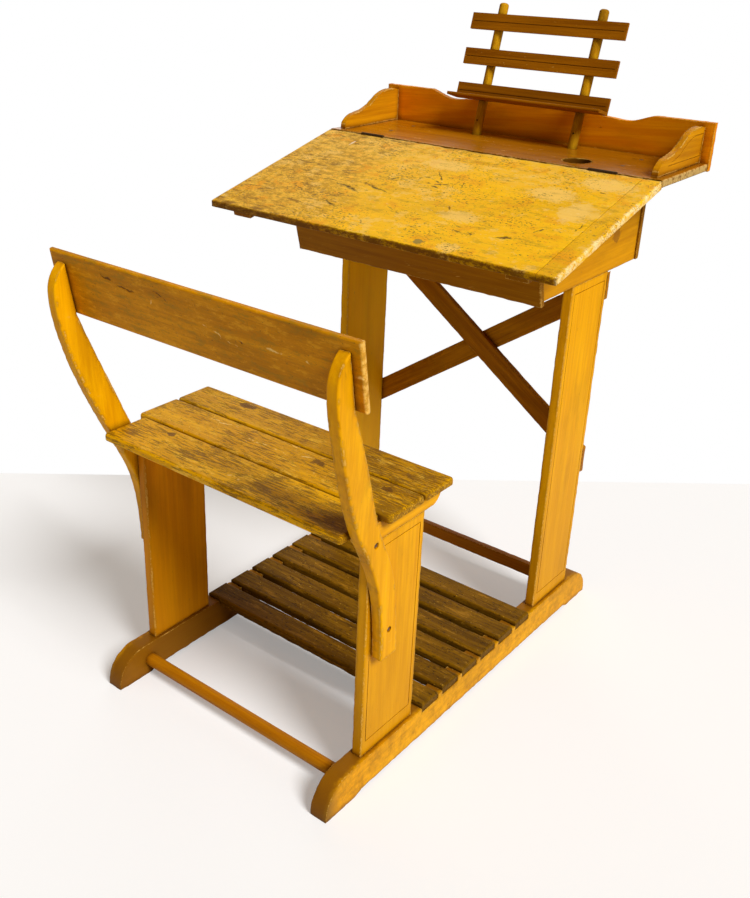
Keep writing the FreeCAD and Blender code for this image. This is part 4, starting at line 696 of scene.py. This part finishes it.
# a darker, redder copy of the upright wood: painted shade on the left seat upright, whose inner face lies in shade
SHADED_LEFT_UPRIGHT_WOOD = varnished_wood("shaded_left_upright_wood", "z", seed=22, pale=(0.90, 0.345, 0.001),
                                   deep=(0.70, 0.225, 0.001), marks=upright_marks)
POST_WOOD = varnished_wood("post_wood", "z", seed=14, film_amount=0.5, edge_wear=0.65, scratches=0.3)
RUNNER_WOOD = varnished_wood("runner_wood", "y", seed=15, edge_wear=0.5, marks=runner_marks)
SLAT_WOOD = varnished_wood("slat_wood", "x", seed=19, pale=(0.27, 0.125, 0.003),
                           deep=(0.10, 0.042, 0.002), film=(0.05, 0.023, 0.003),
                           bare=(0.42, 0.22, 0.02), film_amount=0.7, shine=0.05, marks=slat_marks)
STRETCHER_WOOD = varnished_wood("stretcher_wood", "x", seed=20, pale=(0.58, 0.23, 0.003),
                                deep=(0.38, 0.12, 0.002))
BRACE_RISING = varnished_wood("brace_wood_rising", "x", (0, 35, 0), seed=8,
                              pale=(0.60, 0.245, 0.003), deep=(0.34, 0.118, 0.002),
                              film_amount=0.6, edge_wear=0.4)
BRACE_FALLING = varnished_wood("brace_wood_falling", "x", (0, -35, 0), seed=9,
                               pale=(0.50, 0.190, 0.003), deep=(0.29, 0.092, 0.002),
                               film_amount=0.6, edge_wear=0.4)
print("finishes so far:", len(bpy.data.materials))

# %% Wood of the box, the shelf and the book rest
BOX_WOOD = varnished_wood("box_wood", "y", seed=16, pale=(0.76, 0.34, 0.002),
                          deep=(0.60, 0.24, 0.002), marks=side_marks)
FRONT_WOOD = varnished_wood("box_front_wood", "x", seed=17, pale=(0.41, 0.17, 0.003),
                            deep=(0.27, 0.10, 0.002), marks=hollow_shade)
SHELF_WOOD = varnished_wood("shelf_wood", "x", seed=4, pale=(0.58, 0.220, 0.002),
                            deep=(0.37, 0.122, 0.001), gloss=0.22, shine=0.45, marks=shelf_marks)
GALLERY_WOOD = varnished_wood("gallery_wood", "x", (0, 4, 0), seed=18, pale=(0.98, 0.38, 0.002),
                              deep=(0.80, 0.24, 0.001), rings=0.5)
WING_WOOD = varnished_wood("wing_wood", "y", seed=5, pale=(0.74, 0.32, 0.003),
                           deep=(0.48, 0.17, 0.002), edge_wear=0.9)
REST_WOOD = varnished_wood("book_rest_wood", "x", seed=6, pale=(0.40, 0.14, 0.002),
                           deep=(0.22, 0.065, 0.001), film_amount=0.5, edge_wear=0.35)
ROD_WOOD = varnished_wood("rod_wood", "z", seed=7, pale=(0.70, 0.37, 0.006), deep=(0.38, 0.16, 0.004),
                          film=(0.10, 0.055, 0.006), film_amount=0.9)
print("finishes so far:", len(bpy.data.materials))

# %% Wood of the lid, the seat and the back rest
LID_WOOD = varnished_wood("lid_wood", "x", seed=10, pale=(0.98, 0.57, 0.001),
                          deep=(0.90, 0.45, 0.001), bare=(0.92, 0.66, 0.22), rings=0.1,
                          film_amount=0.3, scratches=0.8, edge_wear=1.0, gloss=0.5, marks=lid_marks)
CLAMP_WOOD = varnished_wood("lid_end_wood", "y", seed=11, pale=(0.97, 0.56, 0.003),
                            deep=(0.86, 0.42, 0.002), bare=(0.93, 0.68, 0.26), rings=0.1,
                            film_amount=0.35, scratches=0.8, edge_wear=0.75, gloss=0.5,
                            marks=lid_marks)
BATTEN_WOOD = varnished_wood("batten_wood", "y", seed=21, pale=(0.40, 0.16, 0.003),
                             deep=(0.28, 0.10, 0.002))
SEAT_WOOD = varnished_wood("seat_wood", "x", seed=12, pale=(0.95, 0.50, 0.002),
                           deep=(0.66, 0.30, 0.001), film=(0.20, 0.08, 0.003),
                           bare=(0.93, 0.64, 0.16), film_amount=0.7, scratches=0.9, edge_wear=0.8,
                           marks=seat_marks)
BACKREST_WOOD = varnished_wood("backrest_wood", "x", seed=13, pale=(0.76, 0.32, 0.002),
                               deep=(0.52, 0.19, 0.001), film_amount=0.7, edge_wear=1.0,
                               marks=back_marks)
print("finishes so far:", len(bpy.data.materials))

# %% [markdown]
# ## Screws and hinges
#
# Screws and nails that were varnished over take the finish of their board. The others are dull
# iron, and the hinges are brass gone nearly black. Bright metal would catch the eye on an old desk,
# so a fine mottle mixes the metal with its own rust or tarnish, and the rusty places are rougher.


# %% Metal finishes
def old_metal(name, body, rust, shine, roughness):
    finish = Finish(name)
    mottle = finish.noise((900, 900, 900), detail=5, rough=0.7)
    rusty = finish.between(mottle, 0.4, 0.65)
    finish.feed(finish.shader.inputs["Base Color"], finish.mix(rusty, body, rust))
    finish.shader.inputs["Metallic"].default_value = shine
    finish.feed(finish.shader.inputs["Roughness"], finish.between(mottle, 0.3, 0.8, roughness, 0.8))
    finish.relief(mottle, 0.0001, 0.6)
    return finish.material


IRON = old_metal("dull_iron", (0.20, 0.15, 0.11), (0.10, 0.045, 0.02), 0.7, 0.4)
BRASS = old_metal("tarnished_brass", (0.10, 0.06, 0.025), (0.035, 0.018, 0.008), 0.7, 0.5)
print("metal finishes:", IRON.name, "and", BRASS.name)

# %% [markdown]
# ## Boards with worn arrises
#
# A board straight from the saw has knife-sharp arrises, and light catches them as one thin line. On
# an old desk they are rounded unevenly, with dents and missing splinters. The solids can't change,
# because other pieces fit them, so each board gets a skin: a copy of its mesh, cut into short
# lengths, whose vertices near an arris sink into the wood by an amount that a noise decides. Sinking
# inwards only, the skin never leaves the solid. Grooves and screw holes keep their sharp lips: they
# are told apart by their narrow walls and short edges.

# %% Which edges are arrises
LID_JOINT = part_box("lid_clamp_right")[0][0]
LID_JOINT_CHAMFER = 0.0010
SHORTEST_ARRIS = 0.0032
SLIGHT_FOLD, STEEP_FOLD = math.radians(11), math.radians(60)
GROOVE_WALL = 0.0013
print("the lid's end boards begin %.1f mm from its middle" % (LID_JOINT * 1000))


def face_width(face):
    """The height of a triangle over its longest side."""
    return 2 * face.calc_area() / max(edge.calc_length() for edge in face.edges)


def in_joint(edge):
    """Whether an edge lies where the lid's panel meets its end boards, so that nothing rubs it."""
    return all(abs(abs(corner.co.x) - LID_JOINT) < LID_JOINT_CHAMFER for corner in edge.verts)


def is_arris(edge):
    """Whether an edge is an outward arris, and not the lip of a groove or of a screw hole."""
    if len(edge.link_faces) != 2 or edge.calc_length() < SHORTEST_ARRIS or in_joint(edge):
        return False
    fold = edge.calc_face_angle_signed(0)
    narrowest = min(face_width(face) for face in edge.link_faces)
    return fold >= SLIGHT_FOLD and (fold <= STEEP_FOLD or narrowest >= GROOVE_WALL)


# %% How far the nearest arris is
ARRIS_STEP = 0.001
FAR_AWAY = Vector((9, 9, 9))  # so that a round rod, which has no arris, still has a nearest one


def arris_places(build):
    """Places every millimetre along the arrises of a solid made of triangles."""
    places = []
    for edge in filter(is_arris, build.edges):
        start, end = (corner.co for corner in edge.verts)
        steps = max(1, int((end - start).length / ARRIS_STEP))
        places += [start.lerp(end, step / steps) for step in range(steps + 1)]
    return places


def arris_tree(build):
    """All those places, sorted so that the nearest one is found at once."""
    places = arris_places(build) or [FAR_AWAY]
    tree = kdtree.KDTree(len(places))
    for number, place in enumerate(places):
        tree.insert(place, number)
    tree.balance()
    return tree


# %% Cut a board into short lengths
RINGS = (0.0009, 0.0022, 0.0045, 0.0075)  # how far from each end of a direction the cuts lie
ON_THE_CUT = 1e-6


def board_axes(build, grain):
    """Along the grain, across the board and through it; a board may lean, so its faces are asked."""
    through = max(build.faces, key=lambda face: face.calc_area()).normal.copy()
    if grain == "longest":
        longest = max(build.edges, key=lambda edge: edge.calc_length())
        along = longest.verts[1].co - longest.verts[0].co
    else:
        along = Vector([float(axis == grain) for axis in "xyz"])
    along = (along - through * along.dot(through)).normalized()
    return along, through.cross(along), through


def cut(build, direction, spacing=0.0):
    """Cut near both ends of a direction, and evenly between them if a spacing is given."""
    reach = [vertex.co.dot(direction) for vertex in build.verts]
    low, high = min(reach), max(reach)
    rings = [ring for ring in RINGS if ring < (high - low) * 0.4]
    places = [low + ring for ring in rings] + [high - ring for ring in rings]
    if spacing:
        places += [low + spacing * (count + 0.5) for count in range(int((high - low) / spacing))]
    for place in places:
        everything = build.verts[:] + build.edges[:] + build.faces[:]
        bmesh.ops.bisect_plane(build, geom=everything, dist=ON_THE_CUT,
                               plane_co=direction * place, plane_no=direction)


# %% Missing splinters
LID_CHIPS = (  # across, down, reach, depth
    (0.139, 0.304, 0.020, 0.0022), (0.105, 0.304, 0.012, 0.0012), (0.304, 0.245, 0.016, 0.0016),
    (0.304, 0.160, 0.014, 0.0014), (0.304, 0.090, 0.022, 0.0018), (0.304, 0.304, 0.014, 0.0030),
    (-0.304, 0.304, 0.012, 0.0025), (0.304, 0.020, 0.010, 0.0014))
SEAT_CHIPS = (  # right, towards the desk, reach, depth
    (0.234, -0.160, 0.012, 0.002), (0.234, -0.222, 0.014, 0.003), (-0.234, -0.160, 0.010, 0.002),
    (0.150, -0.376, 0.020, 0.0016), (-0.030, -0.376, 0.014, 0.0014))
CHIPS = [(on_lid(across, down), reach, depth) for across, down, reach, depth in LID_CHIPS]
CHIPS += [(Vector((x, y, SEAT_TOP)), reach, depth) for x, y, reach, depth in SEAT_CHIPS]
print("%d missing splinters" % len(CHIPS))

# %% Sink the arrises
NEAR_REACH = 0.010  # beyond this from an arris, nothing of its wear is seen
FACE_DIP, DIP_STARTS, DIP_RUN = 0.00016, 0.0022, 0.010  # broad faces dip a little as well


def sinking(place, distance, wear):
    """How deep the wood is worn at a place, so far from the nearest arris."""
    close = max(0.0, 1.0 - distance / (wear * 5 + 0.0005)) ** 2
    depth = wear * close * max(0.12, 0.55 + 0.9 * noise.fractal(place * 75, 0.7, 2.1, 3))
    for centre, reach, deepest in CHIPS:
        depth += deepest * close * max(0.0, 1.0 - (place - centre).length / reach)
    if distance > DIP_STARTS:
        inwards = min(1.0, (distance - DIP_STARTS) / DIP_RUN)
        depth += FACE_DIP * (1 + noise.noise(place * 14)) * inwards
    return depth


def sink(build, tree, wear):
    """Move every vertex into the wood, and keep how near an arris it lies."""
    nearness = build.verts.layers.float.new("nearness")
    sunk = {}
    for vertex in build.verts:
        distance = tree.find(vertex.co)[2]
        vertex[nearness] = max(0.0, 1.0 - distance / NEAR_REACH)
        sunk[vertex] = vertex.co - vertex.normal * sinking(vertex.co, distance, wear)
    for vertex, place in sunk.items():
        vertex.co = place


# %% One worn board
SAME_PLACE, SLIVER = 1e-5, 2e-5
SHARP_FROM = math.radians(32)


def sound_triangles(build):
    """Slivers are dissolved, because they bend the shading, and what they leave open is closed."""
    bmesh.ops.triangulate(build, faces=build.faces)
    bmesh.ops.dissolve_degenerate(build, edges=build.edges, dist=SLIVER)
    bmesh.ops.holes_fill(build, edges=[edge for edge in build.edges if edge.is_boundary])
    bmesh.ops.triangulate(build, faces=build.faces)


def worn_board(node, finish, grain, wear, step, grid):
    """A skin over a node: cut every step along its grain and, if it has a grid, across it too."""
    build = bmesh.new()
    build.from_mesh(frame["nodes"][node].data)
    bmesh.ops.remove_doubles(build, verts=build.verts, dist=SAME_PLACE)
    tree = arris_tree(build)
    along, across, through = board_axes(build, grain)
    cut(build, along, step)
    cut(build, across, grid)
    cut(build, through)
    build.normal_update()
    sink(build, tree, wear)
    sound_triangles(build)
    mesh = bpy.data.meshes.new(node + "_worn")
    build.to_mesh(mesh)
    build.free()
    mesh.polygons.foreach_set("use_smooth", [True] * len(mesh.polygons))
    mesh.set_sharp_from_angle(angle=SHARP_FROM)
    mesh.materials.append(finish)
    skin = bpy.data.objects.new(node + "_worn", mesh)
    skin.modifiers.new("broad_faces_stay_flat", "WEIGHTED_NORMAL").keep_sharp = True
    bpy.context.scene.collection.objects.link(skin)
    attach(skin, BODY_OF[node])
    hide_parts(node)
    return skin


# %% [markdown]
# ## Which boards are worn, and how much
#
# Hands, knees and boots reach some boards more than others. The seat boards and the right end of
# the lid lose most, the box and the shelf least. Boards with a curved outline, a grooved panel or
# a large hole are also cut across, so that they have vertices close by. Small pieces keep their
# solids.

# %% Wear every board
BOARDS = {  # node: finish, grain, wear, step along the grain, spacing across it
    "lid_panel": (LID_WOOD, "x", 0.0013, 0.006, 0),
    "lid_clamp_left": (CLAMP_WOOD, "y", 0.0014, 0.005, 0),
    "lid_clamp_right": (CLAMP_WOOD, "y", 0.0018, 0.004, 0),
    "lid_batten_left": (BATTEN_WOOD, "y", 0.0006, 0.006, 0),
    "lid_batten_right": (BATTEN_WOOD, "y", 0.0006, 0.006, 0),
    "seat_board_rear": (SEAT_WOOD, "x", 0.0013, 0.005, 0),
    "seat_board_middle": (SEAT_WOOD, "x", 0.0013, 0.005, 0),
    "seat_board_front": (SEAT_WOOD, "x", 0.0015, 0.005, 0),
    "backrest_board": (BACKREST_WOOD, "x", 0.0010, 0.006, 0),
    "seat_upright_left": (SHADED_LEFT_UPRIGHT_WOOD, "z", 0.0007, 0.006, 0.012),
    "seat_upright_right": (UPRIGHT_WOOD, "z", 0.0007, 0.006, 0.012),
    "desk_upright_left": (LIT_FAR_UPRIGHT_WOOD, "z", 0.0007, 0.006, 0.012),
    "desk_upright_right": (UPRIGHT_WOOD, "z", 0.0007, 0.006, 0.012),
    "back_post_left": (POST_WOOD, "z", 0.0008, 0.005, 0.005),
    "back_post_right": (POST_WOOD, "z", 0.0008, 0.005, 0.005),
    "seat_bearer_left": (BEARER_WOOD, "y", 0.0006, 0.006, 0),
    "seat_bearer_right": (BEARER_WOOD, "y", 0.0006, 0.006, 0),
    "runner_left": (RUNNER_WOOD, "y", 0.0010, 0.006, 0.008),
    "runner_right": (RUNNER_WOOD, "y", 0.0010, 0.006, 0.008),
    "seat_stretcher_rod": (STRETCHER_WOOD, "x", 0.0006, 0.010, 0),
    "desk_stretcher": (STRETCHER_WOOD, "x", 0.0006, 0.008, 0),
    "brace_straight": (BRACE_FALLING, "longest", 0.0006, 0.008, 0),
    "brace_bowed": (BRACE_RISING, "longest", 0.0006, 0.008, 0),
    "box_side_left": (BOX_WOOD, "y", 0.0006, 0.008, 0.008),
    "box_side_right": (BOX_WOOD, "y", 0.0006, 0.008, 0.008),
    "box_front": (FRONT_WOOD, "x", 0.0008, 0.008, 0),
    "box_back": (FRONT_WOOD, "x", 0.0006, 0.008, 0),
    "shelf": (SHELF_WOOD, "x", 0.0006, 0.008, 0.012),
    "gallery_back": (GALLERY_WOOD, "x", 0.0008, 0.006, 0.006),
    "gallery_wing_left": (WING_WOOD, "y", 0.0006, 0.004, 0.004),
    "gallery_wing_right": (WING_WOOD, "y", 0.0006, 0.004, 0.004),
}
for number in range(1, 7):
    BOARDS["foot_slat_%d" % number] = (SLAT_WOOD, "x", 0.0010, 0.006, 0)
triangles = 0
for node, (finish, grain, wear, step, grid) in BOARDS.items():
    skin = worn_board(node, finish, grain, wear, step, grid)
    triangles += len(skin.data.polygons)
print("%d worn boards, %d triangles" % (len(BOARDS), triangles))

# %% Finish for the solids that stay
STAYING = {"rest_rod_left": ROD_WOOD, "rest_rod_right": ROD_WOOD, "box_floor": FRONT_WOOD,
           "rod_guide_batten": FRONT_WOOD, "seat_screws": SEAT_WOOD, "slat_nails": SLAT_WOOD,
           "rest_nails": REST_WOOD, "brace_screws": BRACE_FALLING, "rest_slat_bottom": REST_WOOD,
           "rest_slat_middle": REST_WOOD, "rest_slat_top": REST_WOOD, "rest_ledge": REST_WOOD}
for node, solid in frame["nodes"].items():
    finish = BRASS if node.startswith("hinge") else STAYING.get(node, IRON)
    solid.data.materials.clear()
    solid.data.materials.append(finish)
print("%d pieces keep their solids" % (len(frame["nodes"]) - len(BOARDS)))

# %% [markdown]
# ## Floor and light
#
# The desk stands on a pale floor in a white room. The light is one big window on its right, as a
# soft sun, and a faint warm glow from everywhere else, with a weak lamp behind so that the back
# isn't lost. The floor ends where a wall would stand, and the white room is seen beyond it.


# %% Floor
def slab(name, corners, finish):
    """A flat piece of the room, which is staged and no part of the desk."""
    mesh = bpy.data.meshes.new(name)
    build = bmesh.new()
    build.faces.new([build.verts.new(corner) for corner in corners])
    build.to_mesh(mesh)
    build.free()
    thing = bpy.data.objects.new(name, mesh)
    thing.data.materials.append(finish)
    bpy.context.scene.collection.objects.link(thing)


def plain_finish(name, colour, roughness, glow):
    """A matte surface that shows a little brighter to the camera than it lights the desk."""
    finish = Finish(name)
    finish.shader.inputs["Base Color"].default_value = colour + (1.0,)
    finish.shader.inputs["Roughness"].default_value = roughness
    finish.shader.inputs["Specular IOR Level"].default_value = 0.1
    seen = finish.add("LightPath").outputs["Is Camera Ray"]
    finish.shader.inputs["Emission Color"].default_value = (1, 1, 1, 1)
    finish.feed(finish.shader.inputs["Emission Strength"], finish.math("MULTIPLY", seen, glow))
    return finish.material


FLOOR_REACH = 8.0
WALL_FOOT_LEFT, WALL_FOOT_RIGHT = Vector((-0.969, -0.091, 0)), Vector((0.314, 0.983, 0))
along_wall = (WALL_FOOT_RIGHT - WALL_FOOT_LEFT).normalized()
from_wall = along_wall.cross(Vector((0, 0, 1)))
wall_left = WALL_FOOT_LEFT - along_wall * FLOOR_REACH
wall_right = WALL_FOOT_RIGHT + along_wall * FLOOR_REACH
slab("floor", [wall_left, wall_left + from_wall * FLOOR_REACH * 2,
               wall_right + from_wall * FLOOR_REACH * 2, wall_right],
     plain_finish("pale_floor", (0.70, 0.71, 0.72), 0.9, 0.28))
print("the floor is %.1f by %.1f m" % ((wall_right - wall_left).length, FLOOR_REACH * 2))


# %% Light
def sun(name, towards, strength, spread):
    """A far lamp: towards points at it, and spread is its width in degrees."""
    light = bpy.data.lights.new(name, "SUN")
    light.energy = strength
    light.angle = math.radians(spread)
    thing = bpy.data.objects.new(name, light)
    thing.rotation_euler = Vector(towards).to_track_quat("Z", "Y").to_euler()
    bpy.context.scene.collection.objects.link(thing)


sun("window", (0.70, -0.16, 0.70), 3.4, 22)
sun("back_glow", (-0.55, 0.75, 0.35), 0.40, 40)
print("lamps:", [light.name for light in bpy.data.lights])

# %% Glow of the room
ROOM_GLOW, ROOM_COLOUR = 0.20, (1.0, 0.73, 0.45)
world = bpy.data.worlds.new("soft_room")
bpy.context.scene.world = world
world.use_nodes = True
sky = world.node_tree.nodes["Background"]
seen = world.node_tree.nodes.new("ShaderNodeLightPath").outputs["Is Camera Ray"]
for socket, dim, bright in (("Strength", ROOM_GLOW, 1.0), ("Color", ROOM_COLOUR + (1,), (1, 1, 1, 1))):
    # the desk is lit by the dim value, and the camera sees the bright one
    choice = world.node_tree.nodes.new("ShaderNodeMix")
    choice.data_type = "RGBA" if socket == "Color" else "FLOAT"
    first, second, result = (6, 7, 2) if socket == "Color" else (2, 3, 0)
    choice.inputs[first].default_value, choice.inputs[second].default_value = dim, bright
    world.node_tree.links.new(seen, choice.inputs[0])
    world.node_tree.links.new(choice.outputs[result], sky.inputs[socket])
print("room glow %.2f" % ROOM_GLOW)
